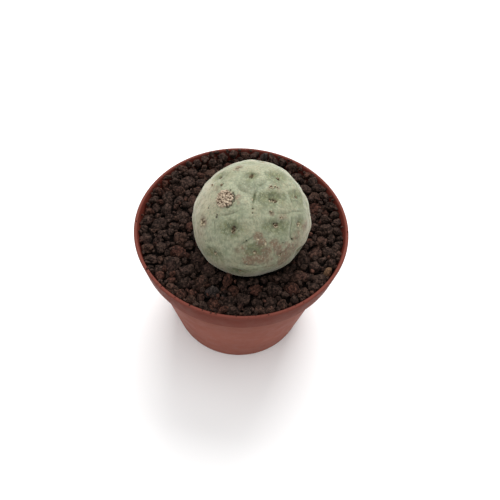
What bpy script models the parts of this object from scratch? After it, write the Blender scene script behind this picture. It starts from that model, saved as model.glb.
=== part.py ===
"""Potted tephrocactus: one round, grooved cactus stem in a 7 cm nursery pot filled with lava grit.

Run with: blender --background --python part.py
Units are metres and +Z is up. The pot stands on z = 0 and its axis is the Z axis.
"""

import math
import random

import bmesh
import bpy
from mathutils import Euler, Matrix, Vector, noise

MM = 0.001
GAP = 0.3 * MM  # clearance between pieces that rest on each other
TURN_STEPS = 64  # sides of every turned shape

# Pot
POT_HEIGHT = 50.0 * MM
RIM_RADIUS = 35.0 * MM
LIP_THICKNESS = 1.1 * MM
WALL = 0.95 * MM
COLLAR_HEIGHT = 8.4 * MM
COLLAR_FOOT_RADIUS = 33.9 * MM
BODY_TOP_RADIUS = 32.1 * MM
BODY_FOOT_RADIUS = 24.9 * MM
FOOT_CHAMFER = 0.5 * MM
FOOT_RING_WIDTH = 2.4 * MM
FLOOR_RAISE = 1.2 * MM
FLOOR_THICKNESS = 1.0 * MM
DRAIN_RADIUS = 1.8 * MM
DRAIN_CIRCLE_RADIUS = 15.0 * MM
DRAIN_COUNT = 8
DRAIN_SIDES = 12

# Bed of grit below the loose top grains
BED_TOP = POT_HEIGHT - 5.0 * MM
BED_RINGS = 14
BED_BUMP = 0.5 * MM
BED_BUMP_LENGTH = 5.0 * MM
SOCKET_RINGS = 16

# Stem
STEM_CENTRE = Vector((2.85 * MM, -3.5 * MM, POT_HEIGHT + 7.0 * MM))
STEM_RADIUS = 18.3 * MM
STEM_SUBDIVISIONS = 5
GROOVE_DEPTH = 0.45 * MM
GROOVE_WIDTH = 0.9 * MM
PIT_DEPTH = 0.9 * MM
PIT_WIDTH = 2.4 * MM
RELIEF_BOTTOM = -0.70  # sine of the elevation where the relief has faded out
RELIEF_FULL = -0.45  # sine of the elevation above which it is full
SCAR_HEIGHT = 0.5 * MM
SCAR_RADIUS = 2.8 * MM

# Azimuth from +X towards +Y and elevation, in degrees, of the areoles on the crown and the front
AREOLES = {
    "scar": (219, 58),
    "rear_left": (168, 57),
    "rear": (141, 87),
    "rear_right": (17, 67),
    "right_crown": (-44, 62),
    "right_edge_upper": (-3, 44),
    "left_edge": (-146, 26),
    "front_left": (-109, 39),
    "front_right": (-60, 42),
    "right_edge_lower": (-29, 27),
    "low_left": (-123, 7),
    "low_front": (-86, 22),
    "low_right": (-59, 11),
    "foot_front": (-97, -9),
}
FILL_CANDIDATES = 260
FILL_SPACING = math.radians(33)
FILL_LOWEST = math.radians(-25)
GOLDEN_ANGLE = math.pi * (3 - math.sqrt(5))

# Taproot, as (depth below the stem's centre, radius)
ROOT_START_ANGLE = math.radians(15)
ROOT_RINGS = [
    (20.5 * MM, 3.6 * MM),
    (24.0 * MM, 2.8 * MM),
    (30.0 * MM, 2.1 * MM),
    (37.0 * MM, 1.4 * MM),
    (43.0 * MM, 0.7 * MM),
]

# Loose grains on top of the bed
GRAIN_COUNT = 48
GRAIN_SEED = 11
GRAIN_SIZES = (2.4 * MM, 3.3 * MM)
GRAIN_TRIES = 400
GRAIN_ROUGHNESS = 0.22
GRAIN_FLATNESS = (0.66, 0.78)

PLASTIC_COLOUR = (0.30, 0.088, 0.058, 1.0)
GRIT_COLOUR = (0.022, 0.012, 0.009, 1.0)
SKIN_COLOUR = (0.36, 0.41, 0.29, 1.0)
STONE_COLOURS = {
    "lava_stone_dark": (0.026, 0.015, 0.012, 1.0),
    "lava_stone_red": (0.060, 0.020, 0.013, 1.0),
    "lava_stone_brown": (0.052, 0.030, 0.019, 1.0),
}
STONE_SHARES = (5, 2, 2)


def clear_scene():
    """Remove every object that the file opened with."""
    for thing in list(bpy.data.objects):
        bpy.data.objects.remove(thing)


def material(name, colour, roughness):
    """Non-metallic Principled material."""
    made = bpy.data.materials.get(name) or bpy.data.materials.new(name)
    made.use_nodes = True
    shader = made.node_tree.nodes["Principled BSDF"]
    shader.inputs["Base Color"].default_value = colour
    shader.inputs["Roughness"].default_value = roughness
    shader.inputs["Metallic"].default_value = 0.0
    made.diffuse_color = colour
    return made


def add_object(name, bm, look=None, sharp_angle=math.radians(35)):
    """Turn a bmesh into a named object with its own material, shaded smooth."""
    bmesh.ops.recalc_face_normals(bm, faces=bm.faces)
    mesh = bpy.data.meshes.new(name)
    bm.to_mesh(mesh)
    bm.free()
    mesh.shade_smooth()
    mesh.set_sharp_from_angle(angle=sharp_angle)
    if look:
        mesh.materials.append(look)
    thing = bpy.data.objects.new(name, mesh)
    bpy.context.scene.collection.objects.link(thing)
    return thing


def cut(thing, cutter):
    """Subtract a cutter from a piece, and keep the cutter as a wire guide."""
    cutter.hide_render = True
    cutter.display_type = "WIRE"
    boolean = thing.modifiers.new("cut_" + cutter.name, "BOOLEAN")
    boolean.operation = "DIFFERENCE"
    boolean.solver = "EXACT"
    boolean.object = cutter


def turned(outline, axis=(0.0, 0.0)):
    """Spin a closed (radius, height) outline about a vertical axis; points at radius 0 merge."""
    bm = bmesh.new()
    verts = [bm.verts.new((radius, 0.0, height)) for radius, height in outline]
    edges = [bm.edges.new(pair) for pair in zip(verts, verts[1:])]
    if outline[0][0] > 0:
        edges.append(bm.edges.new((verts[-1], verts[0])))
    bmesh.ops.spin(
        bm,
        geom=verts + edges,
        cent=(0, 0, 0),
        axis=(0, 0, 1),
        angle=math.tau,
        steps=TURN_STEPS,
        use_merge=True,
    )
    bmesh.ops.remove_doubles(bm, verts=bm.verts, dist=0.001 * MM)
    bmesh.ops.translate(bm, verts=bm.verts, vec=(axis[0], axis[1], 0.0))
    return bm


def body_radius(height):
    """Outer radius of the pot's tapered body."""
    share = height / (POT_HEIGHT - COLLAR_HEIGHT)
    return BODY_FOOT_RADIUS + (BODY_TOP_RADIUS - BODY_FOOT_RADIUS) * share


def collar_inner_radius(height):
    """Inner radius of the pot's collar band."""
    share = (height - POT_HEIGHT + COLLAR_HEIGHT) / COLLAR_HEIGHT
    foot = COLLAR_FOOT_RADIUS - WALL
    return foot + (RIM_RADIUS - LIP_THICKNESS - foot) * share


def pot_outline():
    """Closed outline of the pot: foot, body, collar and lip outside, then back down the inside."""
    collar_foot = POT_HEIGHT - COLLAR_HEIGHT
    floor_top = FLOOR_RAISE + FLOOR_THICKNESS
    bead = LIP_THICKNESS / 2
    points = [
        (BODY_FOOT_RADIUS - FOOT_CHAMFER, 0.0),
        (body_radius(FOOT_CHAMFER), FOOT_CHAMFER),
        (body_radius(collar_foot), collar_foot),
        (COLLAR_FOOT_RADIUS - 0.3 * MM, collar_foot),
        (COLLAR_FOOT_RADIUS, collar_foot + 0.3 * MM),
    ]
    for step in range(7):
        turn = math.pi * step / 6
        height = POT_HEIGHT - bead + bead * math.sin(turn)
        points.append((RIM_RADIUS - bead + bead * math.cos(turn), height))
    points += [
        (collar_inner_radius(collar_foot + 0.6 * MM), collar_foot + 0.6 * MM),
        (collar_inner_radius(collar_foot) - 0.6 * MM, collar_foot - 0.2 * MM),
        (body_radius(collar_foot) - WALL, collar_foot - WALL),
        (body_radius(floor_top + 1.5 * MM) - WALL, floor_top + 1.5 * MM),
        (body_radius(floor_top) - WALL - 1.5 * MM, floor_top),
        (DRAIN_RADIUS, floor_top),
        (DRAIN_RADIUS, FLOOR_RAISE),
        (BODY_FOOT_RADIUS - FOOT_CHAMFER - FOOT_RING_WIDTH - 0.3 * MM, FLOOR_RAISE),
        (BODY_FOOT_RADIUS - FOOT_CHAMFER - FOOT_RING_WIDTH, 0.0),
    ]
    return points


def drain_cutter():
    """Ring of round pegs that cut the drain holes through the floor."""
    bm = bmesh.new()
    for number in range(DRAIN_COUNT):
        turn = math.tau * number / DRAIN_COUNT
        place = Vector((math.cos(turn), math.sin(turn), 0.0)) * DRAIN_CIRCLE_RADIUS
        place.z = FLOOR_RAISE + FLOOR_THICKNESS / 2
        bmesh.ops.create_cone(
            bm,
            cap_ends=True,
            segments=DRAIN_SIDES,
            radius1=DRAIN_RADIUS,
            radius2=DRAIN_RADIUS,
            depth=FLOOR_THICKNESS * 3,
            matrix=Matrix.Translation(place),
        )
    return add_object("drain_cutter", bm)


def build_pot():
    """Thin moulded pot with a collar band, a foot ring and a drained floor."""
    look = material("terracotta_plastic", PLASTIC_COLOUR, 0.5)
    pot = add_object("pot", turned(pot_outline()), look)
    cut(pot, drain_cutter())


def bed_height(x, y):
    """Height of the bed's bumpy top at a place."""
    place = Vector((x, y, 0.0)) / BED_BUMP_LENGTH
    return BED_TOP + BED_BUMP * noise.noise(place)


def bed_outline():
    """Outline of the bed from the axis: underside, wall inside the pot, then the flat top."""
    collar_foot = POT_HEIGHT - COLLAR_HEIGHT
    floor = FLOOR_RAISE + FLOOR_THICKNESS + GAP
    edge = collar_inner_radius(BED_TOP) - GAP
    points = [
        (0.0, floor),
        (body_radius(floor) - WALL - 2.2 * MM, floor),
        (body_radius(floor + 1.8 * MM) - WALL - GAP, floor + 1.8 * MM),
        (body_radius(collar_foot) - WALL - GAP, collar_foot - WALL),
        (collar_inner_radius(collar_foot) - 0.6 * MM - GAP, collar_foot + GAP),
        (collar_inner_radius(collar_foot) - GAP, collar_foot + 0.9 * MM),
    ]
    points += [(edge * (1 - ring / BED_RINGS), BED_TOP) for ring in range(BED_RINGS + 1)]
    return points


def socket_outline():
    """Outline of the hollow that the stem and its taproot sit in, with clearance all round."""
    radius = STEM_RADIUS + 1.2 * GAP
    root_start = ROOT_START_ANGLE * 1.15
    points = []
    for step in range(SOCKET_RINGS + 1):
        turn = (math.pi - root_start) * (1 - step / SOCKET_RINGS)
        points.append((radius * math.sin(turn), radius * math.cos(turn)))
    points[-1] = (0.0, radius)
    root = [(r + 2 * GAP, -depth) for depth, r in ROOT_RINGS]
    tip = (0.0, -ROOT_RINGS[-1][0] - 2 * GAP)
    outline = [tip] + root[::-1] + points
    return [(r, h + STEM_CENTRE.z) for r, h in outline]


def build_bed():
    """Packed grit that fills the pot, hollowed for the plant."""
    bm = turned(bed_outline())
    for vert in bm.verts:
        if vert.co.z > BED_TOP - 0.01 * MM:
            vert.co.z = bed_height(vert.co.x, vert.co.y)
    bed = add_object("grit_bed", bm, material("lava_grit", GRIT_COLOUR, 0.95))
    cut(bed, add_object("socket_cutter", turned(socket_outline(), STEM_CENTRE.xy)))


def direction(azimuth, elevation):
    """Unit vector from angles in radians."""
    level = math.cos(elevation)
    return Vector((level * math.cos(azimuth), level * math.sin(azimuth), math.sin(elevation)))


def areole_directions():
    """The named areoles, then the rest of the stem filled at an even spacing."""
    placed = [direction(math.radians(a), math.radians(e)) for a, e in AREOLES.values()]
    for number in range(FILL_CANDIDATES):
        height = 1 - 2 * (number + 0.5) / FILL_CANDIDATES
        trial = direction(number * GOLDEN_ANGLE, math.asin(height))
        if trial.z < math.sin(FILL_LOWEST):
            continue
        if min(trial.angle(other) for other in placed) > FILL_SPACING:
            placed.append(trial)
    return placed


def smooth_step(low, high, value):
    """Ease from 0 at low to 1 at high."""
    share = min(max((value - low) / (high - low), 0.0), 1.0)
    return share * share * (3 - 2 * share)


def stem_surface(aim, areoles):
    """Distance from the stem's centre to its skin in one direction."""
    angles = sorted(aim.angle(areole) for areole in areoles)
    to_groove = (angles[1] - angles[0]) / 2 * STEM_RADIUS
    to_areole = angles[0] * STEM_RADIUS
    relief = GROOVE_DEPTH * math.exp(-((to_groove / GROOVE_WIDTH) ** 2))
    relief += PIT_DEPTH * math.exp(-((to_areole / PIT_WIDTH) ** 2))
    to_scar = aim.angle(areoles[0]) * STEM_RADIUS
    bump = (PIT_DEPTH + SCAR_HEIGHT) * (1 - smooth_step(0.6 * SCAR_RADIUS, SCAR_RADIUS, to_scar))
    return STEM_RADIUS - relief * smooth_step(RELIEF_BOTTOM, RELIEF_FULL, aim.z) + bump


def grow_root(bm):
    """Draw the underside of the stem down into a tapering taproot."""
    limit = -math.cos(ROOT_START_ANGLE)
    under = [face for face in bm.faces if face.calc_center_median().normalized().z < limit]
    for depth, radius in ROOT_RINGS:
        grown = bmesh.ops.extrude_face_region(bm, geom=under)["geom"]
        bmesh.ops.delete(bm, geom=under, context="FACES")
        under = [part for part in grown if isinstance(part, bmesh.types.BMFace)]
        verts = [part for part in grown if isinstance(part, bmesh.types.BMVert)]
        widest = max(vert.co.xy.length for vert in verts)
        for vert in verts:
            vert.co.x *= radius / widest
            vert.co.y *= radius / widest
            vert.co.z = -depth


def build_stem():
    """Round stem: areole pits, the grooves between them, a corky scar and a taproot."""
    areoles = areole_directions()
    bm = bmesh.new()
    bmesh.ops.create_icosphere(bm, subdivisions=STEM_SUBDIVISIONS, radius=1.0)
    for vert in bm.verts:
        aim = vert.co.normalized()
        vert.co = aim * stem_surface(aim, areoles)
    grow_root(bm)
    bmesh.ops.translate(bm, verts=bm.verts, vec=STEM_CENTRE)
    add_object("cactus_stem", bm, material("cactus_skin", SKIN_COLOUR, 0.6))


def grain_mesh(rng, size):
    """Rough, slightly flattened lump about a grain's centre."""
    bm = bmesh.new()
    bmesh.ops.create_icosphere(bm, subdivisions=2, radius=1.0)
    shift = Vector([rng.uniform(-50, 50) for _ in range(3)])
    stretch = Vector((1.0, rng.uniform(0.78, 0.98), rng.uniform(*GRAIN_FLATNESS)))
    tilt = Euler((rng.uniform(-0.25, 0.25), rng.uniform(-0.25, 0.25), rng.uniform(0, math.tau)))
    for vert in bm.verts:
        swell = 1 - GRAIN_ROUGHNESS + GRAIN_ROUGHNESS * noise.noise(vert.co * 1.4 + shift)
        vert.co = (vert.co * swell) * stretch * size
        vert.co.rotate(tilt)
    return bm


def seat_height(bm, x, y):
    """Height at which a grain's underside clears the bed by the resting gap."""
    reach = [bed_height(x + v.co.x, y + v.co.y) - v.co.z for v in bm.verts]
    return max(reach) + GAP + 0.05 * MM


def is_free(place, size, placed):
    """Whether a grain clears the stem, the pot and the grains already placed."""
    wall = collar_inner_radius(place.z) * math.cos(math.pi / TURN_STEPS)
    if place.xy.length + size + GAP > wall:
        return False
    if (place - STEM_CENTRE).length < STEM_RADIUS + size + GAP:
        return False
    return all((place - other).length > size + radius + GAP for other, radius in placed)


def build_grains():
    """Loose lava grains spread over the bed, each the loneliest of many tries."""
    rng = random.Random(GRAIN_SEED)
    looks = [material(name, colour, 0.95) for name, colour in STONE_COLOURS.items()]
    placed = []
    for _ in range(GRAIN_COUNT):
        size = rng.uniform(*GRAIN_SIZES)
        bm = grain_mesh(rng, size)
        best = None
        best_room = -1.0
        for _ in range(GRAIN_TRIES):
            turn = rng.uniform(0, math.tau)
            out = RIM_RADIUS * math.sqrt(rng.uniform(0, 1))
            x, y = out * math.cos(turn), out * math.sin(turn)
            trial = Vector((x, y, BED_TOP + size))
            if not is_free(trial, size, placed):
                continue
            room = min([(trial - other).length - radius for other, radius in placed] + [RIM_RADIUS])
            if room > best_room:
                best, best_room = trial, room
        if best is None:
            bm.free()
            continue
        best.z = seat_height(bm, best.x, best.y)
        placed.append((best, size))
        bmesh.ops.translate(bm, verts=bm.verts, vec=best)
        look = rng.choices(looks, weights=STONE_SHARES)[0]
        add_object(f"lava_grain_{len(placed):02d}", bm, look)


def main():
    """Build the whole part."""
    clear_scene()
    build_pot()
    build_bed()
    build_stem()
    build_grains()


main()
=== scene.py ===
"""Finish of a potted tephrocactus: a round grooved stem in a nursery pot of lava grit.

Every length is in metres, in the frame of the CAD part: the pot stands on z = 0 about the Z axis.
"""

import math
import random

import bmesh
import bpy
import numpy as np
from bpy.props import FloatProperty, FloatVectorProperty, IntProperty, PointerProperty
from mathutils import Matrix, Vector, noise


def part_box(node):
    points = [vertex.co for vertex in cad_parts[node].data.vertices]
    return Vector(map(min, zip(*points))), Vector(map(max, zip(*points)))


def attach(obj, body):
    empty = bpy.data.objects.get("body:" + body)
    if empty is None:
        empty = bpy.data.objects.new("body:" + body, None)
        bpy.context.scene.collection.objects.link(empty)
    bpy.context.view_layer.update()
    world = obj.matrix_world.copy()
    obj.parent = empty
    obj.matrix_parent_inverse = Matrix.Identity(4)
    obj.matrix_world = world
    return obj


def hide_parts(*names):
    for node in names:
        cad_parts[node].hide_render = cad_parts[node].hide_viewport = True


bl_info = {
    "name": "Potted Tephrocactus",
    "version": (1, 0, 0),
    "blender": (4, 5, 0),
    "location": "View3D > Sidebar > Cactus",
    "description": "Builds the finish of a tephrocactus in a nursery pot of lava grit",
    "category": "Add Mesh",
}

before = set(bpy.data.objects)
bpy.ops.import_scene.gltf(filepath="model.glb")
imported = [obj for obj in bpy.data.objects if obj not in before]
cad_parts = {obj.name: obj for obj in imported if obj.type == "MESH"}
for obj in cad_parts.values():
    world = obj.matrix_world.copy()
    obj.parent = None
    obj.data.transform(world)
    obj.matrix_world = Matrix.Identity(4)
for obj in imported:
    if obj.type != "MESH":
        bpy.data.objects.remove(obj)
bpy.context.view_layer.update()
MM = 0.001

_, POT_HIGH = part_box("pot")
STEM_LOW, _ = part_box("cactus_stem")
STONE_NODES = sorted(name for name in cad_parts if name.startswith("lava_grain"))

# The pot: its rim, its collar band and the inside of the collar
RIM_RADIUS = POT_HIGH.x
RIM_HEIGHT = POT_HIGH.z
COLLAR_HEIGHT = 8.4 * MM
INSIDE_RADIUS = 32.95 * MM
INSIDE_FLARE = 0.95 * MM

# The stem: a ball, with its hidden part below this share of its radius
STEM_RADIUS = 18.3 * MM
STEM_CENTRE = Vector((2.85 * MM, -3.5 * MM, RIM_HEIGHT + 7.0 * MM))
HIDDEN_BELOW = -0.42
# The taproot: the angle that it takes of the ball's underside, and the shares by which it thins
ROOT_ANGLE = math.radians(22)
ROOT_TIP = 0.04
ROOT_WAIST = 0.55
# The areoles of the back, and the painted shadow along the scar's rim, with its turns in degrees
GOLDEN_ANGLE = math.pi * (3 - math.sqrt(5))
BACK_PLACES = 260
SCAR_RIM = 2.75 * MM
SCAR_RIM_STEPS = 12
SCAR_RIM_START = -60
SCAR_RIM_SWEEP = 110

# Seeds, one for each thing that is drawn at random
WARP_SEED = 1
AREOLE_SEED = 5
BORDER_SEED = 8
CRUMB_SEED = 9
WOOL_SEED = 17
SCAR_SEED = 23
SCAR_RIM_SEED = 29
LOOSE_SEED = 31


# ---------------------------------------------------------------- the skin: areoles, grooves, cork

class Areole:
    """One areole: its place in degrees, its pit, halo and wool, and its tuft's half sizes in mm.

    The middle of its halo lies aside and lift mm to the side and above the tuft, and wide is its width
    to its height.
    A hole is given by how far it lies to the side and upwards, and by its radius, in mm.
    """

    def __init__(
        self,
        azimuth,
        elevation,
        pit=1.0,
        halo=1.0,
        wide=1.0,
        aside=0.0,
        lift=0.85,
        tuft=(0.5, 0.5),
        wool=0.4,
        holes=(),
    ):
        self.aim = place_aim(azimuth, elevation)
        self.pit = pit
        self.halo = halo
        self.wide = wide
        self.aside = aside * MM
        self.lift = lift * MM
        self.tuft = tuft
        self.wool = wool
        self.holes = [(beside(self.aim, x * MM, y * MM), radius * MM) for x, y, radius in holes]


def direction(azimuth, elevation):
    """Unit vector from an azimuth, from +X towards +Y, and an elevation, in radians."""
    level = math.cos(elevation)
    return Vector((level * math.cos(azimuth), level * math.sin(azimuth), math.sin(elevation)))


def place_aim(azimuth, elevation):
    """Unit vector of a place on the stem, given in degrees."""
    return direction(math.radians(azimuth), math.radians(elevation))


def tangents(aim):
    """Two directions along the skin: sideways, and up towards the growing point."""
    side = GROWING_POINT.cross(aim)
    side = side.normalized() if side.length > 1e-4 else Vector((1, 0, 0))
    return side, aim.cross(side)


def beside(aim, across, along):
    """Direction a little beside another, by lengths along the skin."""
    side, up = tangents(aim)
    return (aim * STEM_RADIUS + side * across + up * along).normalized()


GROWING_POINT = direction(math.radians(90), math.radians(48))
NAMED_AREOLES = {
    "scar": Areole(217, 57.5, pit=0.15, halo=0.0, tuft=(0, 0)),
    "rear_left": Areole(
        163, 54, pit=0.8, halo=1.1, wide=1.1, lift=0.9, tuft=(0.55, 0.35), wool=0.12,
        holes=((-0.3, 0.1, 0.6), (0.35, 0.2, 0.26)),
    ),
    "rear": Areole(
        117, 84.4, pit=0.9, halo=1.15, wide=0.8, lift=0.4, tuft=(0.55, 0.85), wool=0.12,
        holes=((0.15, 0.65, 0.38), (-0.15, -0.2, 0.26), (0.1, -0.75, 0.2)),
    ),
    "rear_right": Areole(
        22, 64.5, pit=0.9, halo=1.35, wide=1.2, aside=-0.4, lift=0.9, tuft=(0.45, 0.35), wool=0.2,
        holes=((-0.1, -0.6, 0.44), (0.5, 0.0, 0.2)),
    ),
    "right_crown": Areole(
        -43, 62.6, pit=1.2, halo=1.45, wide=1.6, aside=-0.85, lift=1.3, tuft=(1.35, 0.5), wool=0.45,
        holes=((-0.85, 0.25, 0.38), (0.15, 0.1, 0.42), (1.15, -0.15, 0.3)),
    ),
    "right_edge_upper": Areole(
        -3, 44, pit=0.9, halo=1.55, lift=0.4, tuft=(0.4, 0.35), wool=0.4,
        holes=((-0.35, 0.15, 0.26), (0.4, -0.15, 0.2)),
    ),
    "left_edge": Areole(
        -148, 24.8, pit=0.5, halo=0.0, tuft=(1.3, 1.2), wool=1.0,
        holes=(
            (0.45, -0.25, 0.32), (0.85, 0.35, 0.2), (-0.5, 0.6, 0.2), (-0.3, 0.0, 0.2), (0.1, 0.75, 0.2),
        ),
    ),
    "front_left": Areole(
        -110, 37.6, pit=1.35, halo=1.35, wide=1.2, aside=-0.6, lift=0.55, tuft=(0.6, 1.15), wool=0.15,
        holes=((0.25, 0.75, 0.46), (-0.35, 0.0, 0.3), (0.2, -0.35, 0.24)),
    ),
    "front_right": Areole(
        -57.5, 41.3, pit=1.2, halo=1.2, wide=1.35, aside=0.25, lift=0.3, tuft=(0.75, 0.7), wool=0.45,
        holes=((-0.45, 0.45, 0.34), (0.15, 0.0, 0.24), (0.55, 0.5, 0.22)),
    ),
    "right_edge_lower": Areole(-29, 28, pit=0.9, halo=0.9, wide=0.85, lift=0.7, tuft=(0.7, 0.7), wool=0.85),
    "low_left": Areole(
        -123, 3, pit=1.0, halo=1.3, wide=1.1, lift=0.9, tuft=(0.45, 0.4), wool=0.6,
        holes=((-0.4, 0.5, 0.2),),
    ),
    "low_front": Areole(-83.5, 17.8, pit=1.3, halo=2.7, wide=0.9, lift=1.35, tuft=(0.55, 0.35), wool=0.55),
    "low_right": Areole(
        -59, 10, pit=0.7, halo=0.7, wide=1.1, tuft=(0.4, 0.4), wool=0.6, holes=((0.0, 0.5, 0.2),)
    ),
    "foot_front": Areole(
        -97, -11.5, pit=0.7, halo=0.95, wide=1.3, tuft=(0.35, 0.3), wool=1.2, holes=((-0.9, 0.8, 0.24),)
    ),
}


class Groove:
    """Groove through a few places of the skin, in degrees: a fine line in a soft valley.

    It fades at its start and its end, unless fade says that it runs on into another.
    """

    STEPS = 6
    FADE_IN = 0.3
    FADE_OUT = 0.4
    LINE_WIDTH = 0.33 * MM
    RIDGE_WIDTH = 0.45 * MM

    def __init__(self, line, valley, *places, reach=1.1, fade=(1, 1)):
        self.line = line
        self.valley = valley
        self.reach = reach * MM
        corners = [place_aim(azimuth, elevation) for azimuth, elevation in places]
        ends = [corners[0] * 2 - corners[1]] + corners + [corners[-1] * 2 - corners[-2]]
        self.points = []
        for before, start, stop, after in zip(ends, ends[1:], ends[2:], ends[3:]):
            for step in range(self.STEPS):
                self.points.append(rounded_step(before, start, stop, after, step / self.STEPS))
        self.points.append(corners[-1])
        count = len(self.points) - 1
        self.shares = []
        for number in range(count + 1):
            share = number / count
            fade_in = min(1.0, share / self.FADE_IN) if fade[0] else 1.0
            fade_out = min(1.0, (1 - share) / self.FADE_OUT) if fade[1] else 1.0
            self.shares.append(fade_in * fade_out)

    def spans(self):
        """Each straight stretch, with the strength at both of its ends."""
        return zip(self.points, self.points[1:], self.shares, self.shares[1:])


def rounded_step(before, start, stop, after, share):
    """Unit vector part of the way along a smooth curve through four others."""
    square, cube = share * share, share**3
    point = start * 2 + (stop - before) * share
    point += (before * 2 - start * 5 + stop * 4 - after) * square
    point += (start * 3 - before - stop * 3 + after) * cube
    return point.normalized()


# Grooves: strengths of the line and of its valley, then the places that it runs through
GROOVES = (
    Groove(
        0.4, 1.5, (-176, 71), (-153, 73), (-133, 73), (-116, 74), (-98, 74), (-85, 73),
        reach=2.3, fade=(1, 0),
    ),
    Groove(0.55, 1.7, (-2, 78), (-21, 80), (-49, 81), (-72, 78), (-84, 73), reach=2.1, fade=(1, 0)),
    Groove(0, 1.5, (-150, 82), (-115, 80), (-95, 77), (-86, 72), reach=2.6, fade=(1, 0)),
    Groove(1.4, 1.0, (-72, 78), (-83, 74), (-86, 69), (-88, 65), (-89, 60), reach=1.4),
    Groove(0.5, 0.6, (-88, 65), (-89, 60), (-89, 53), reach=1.4),
    Groove(0.75, 0.9, (-136, 40), (-127, 46), (-120, 50), (-113, 54), (-102, 59), reach=1.3),
    Groove(0.6, 0.7, (-134, 41), (-134, 36), (-131, 32), (-128, 28), (-125, 22), reach=1.3),
    Groove(0.7, 1.1, (-2, 56), (-7, 54), (-14, 51), (-20, 46), (-25, 41), reach=1.4),
    Groove(0.55, 0.45, (-33, 44), (-27, 42), (-20, 37), (-13, 31), (-6, 24), fade=(0, 1)),
    Groove(
        0.85, 1.0, (-29, 43), (-33, 40), (-37, 36), (-41, 32), (-43.5, 28), (-45, 23), (-43, 20),
        fade=(1, 0),
    ),
    Groove(0.4, 0.5, (-58, 23), (-51, 22), (-44, 20), (-36, 8)),
    Groove(0.5, 0.7, (-75, 55), (-64, 54), (-53, 52), (-43, 48), (-33, 44), reach=1.4, fade=(1, 0)),
    Groove(0.85, 1.2, (-104, 21), (-98, 26), (-94, 29), (-90, 32), (-86, 35), (-80, 38), reach=1.4),
    Groove(0.2, 0.7, (-89, 55), (-87, 51), (-86, 45), (-83, 39), reach=1.5),
    Groove(0.3, 0.8, (-141, 6), (-131, 15), (-126, 18), (-116, 18), reach=1.5),
    Groove(0.75, 0.6, (-98, 5), (-90, 3), (-84, 2), (-78, 2), (-70, 6)),
    Groove(0.4, 0.4, (-109, -3), (-103, -8), (-96, -9)),
    Groove(0.6, 0.5, (148, 64), (135, 66), (127, 68), (119, 72)),
    Groove(0.6, 0.5, (128, 59), (118, 61), (108, 62), (95, 62)),
    Groove(0.5, 0.8, (55, 72), (39, 76), (19, 77)),
    Groove(0.45, 0.6, (50, 66), (38, 69), (22, 69)),
    Groove(0.45, 0.5, (-2, 57), (5, 56), (11, 51), (13, 44)),
)
# Dark nicks in the skin, darkened with the holes' painted shade: azimuth, elevation and radius in mm
NICKS = (
    (-43, 20, 0.36),
    (-135, 40, 0.42),
    (-136, 42, 0.30),
    (-88, 60, 0.20),
    (-88, 56, 0.22),
    (-55, 23, 0.20),
    (-93, 30, 0.20),
    (-151, 66, 0.22),
    (-91, 3, 0.26),
    (-175, 61, 0.20),
    (-152, 39, 0.20),
    (136, 66, 0.16),
    (3, 56, 0.16),
)
# Flecks of dry cork on the skin: azimuth, elevation, half sizes in mm and share of pale crumbs
FLECKS = (
    (-16, 71, 1.5, 0.5, 0.45),
    (-22, 73, 0.4, 0.3, 0.9),
    (-73, 28, 0.18, 0.6, 1.0),
    (-81, 33, 0.3, 0.3, 0.9),
    (-48, 46, 0.45, 0.25, 0.5),
    (-59, 55, 0.3, 0.22, 0.6),
    (-90, 69, 0.16, 0.25, 1.0),
    (130, 67, 0.7, 0.15, 0.3),
    (142, 66, 0.4, 0.12, 0.5),
    (178, 49, 0.6, 0.25, 0.35),
    (-174, 60, 0.3, 0.45, 0.2),
)
# Corky patches of the skin: azimuth, elevation, radius in degrees and strength
CORK_PATCHES = (
    (-81, 35, 4.5, 1.2),
    (-78, 29, 5.0, 1.0),
    (-72, 19, 6.0, 1.0),
    (-65, 25, 5.5, 0.9),
    (-60, 19, 6.0, 0.9),
    (-54, 14, 9.0, 0.95),
    (-88, 10, 8.0, 1.3),
    (-79, 10, 6.0, 1.2),
    (-72, 7, 8.0, 0.7),
    (-97, 21, 7.0, 0.6),
    (-54, 1, 9.0, 1.3),
    (-66, -1, 8.0, 0.6),
    (-44, 9, 9.0, 0.8),
    (-36, 20, 8.0, 0.6),
    (-22, 20, 7.0, 0.6),
    (-45, 45, 6.0, 0.6),
    (-58, 53, 3.0, 0.5),
    (-24, 72, 4.0, 0.45),
    (-12, 69, 5.0, 0.55),
    (132, 66, 6.0, 0.6),
    (-170, 55, 6.0, 0.35),
    (-150, 50, 5.0, 0.25),
    (-125, 66, 3.5, 0.9),
    (-118, 62, 3.0, 0.6),
    (-147, 25, 7.0, 0.85),
    (-144, 14, 8.0, 0.3),
    (-128, 2, 9.0, 0.2),
    (-110, -6, 8.0, 0.15),
    (60, 20, 14.0, 0.7),
    (110, 5, 16.0, 0.8),
    (-175, 2, 11.0, 0.6),
)
# Bleached, cream patches of the skin, in the same terms; partly painted light that lifts shaded edges and
# the underside
PALE_AND_PAINTED_LIGHT_PATCHES = (
    (-166, 26, 17.0, 0.9),
    (-150, 8, 13.0, 0.9),
    (-160, 42, 13.0, 0.75),
    (176, 40, 12.0, 1.0),
    (-19, 12, 11.0, 0.9),
    (-29, 3, 9.0, 0.7),
    (-88, -18, 15.0, 0.9),
    (-122, -12, 12.0, 0.9),
    (-110, -4, 7.0, 0.4),
    (80, 45, 16.0, 0.4),
    (35, 15, 15.0, 0.7),
    (130, 22, 16.0, 0.7),
)
# Broad hollows of the skin, in the same terms, coloured with the valleys' greener skin and painted shade
HOLLOWS = (
    (-88, 82, 7.5, 1.45),
    (-132, 80, 8.0, 1.6),
    (-42, 80, 6.0, 1.1),
    (150, 79, 6.0, 0.7),
    (1, 28, 6.0, 1.1),
    (52, 62, 5.0, 0.4),
    (-68, 58, 5.0, 0.8),
)
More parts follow.
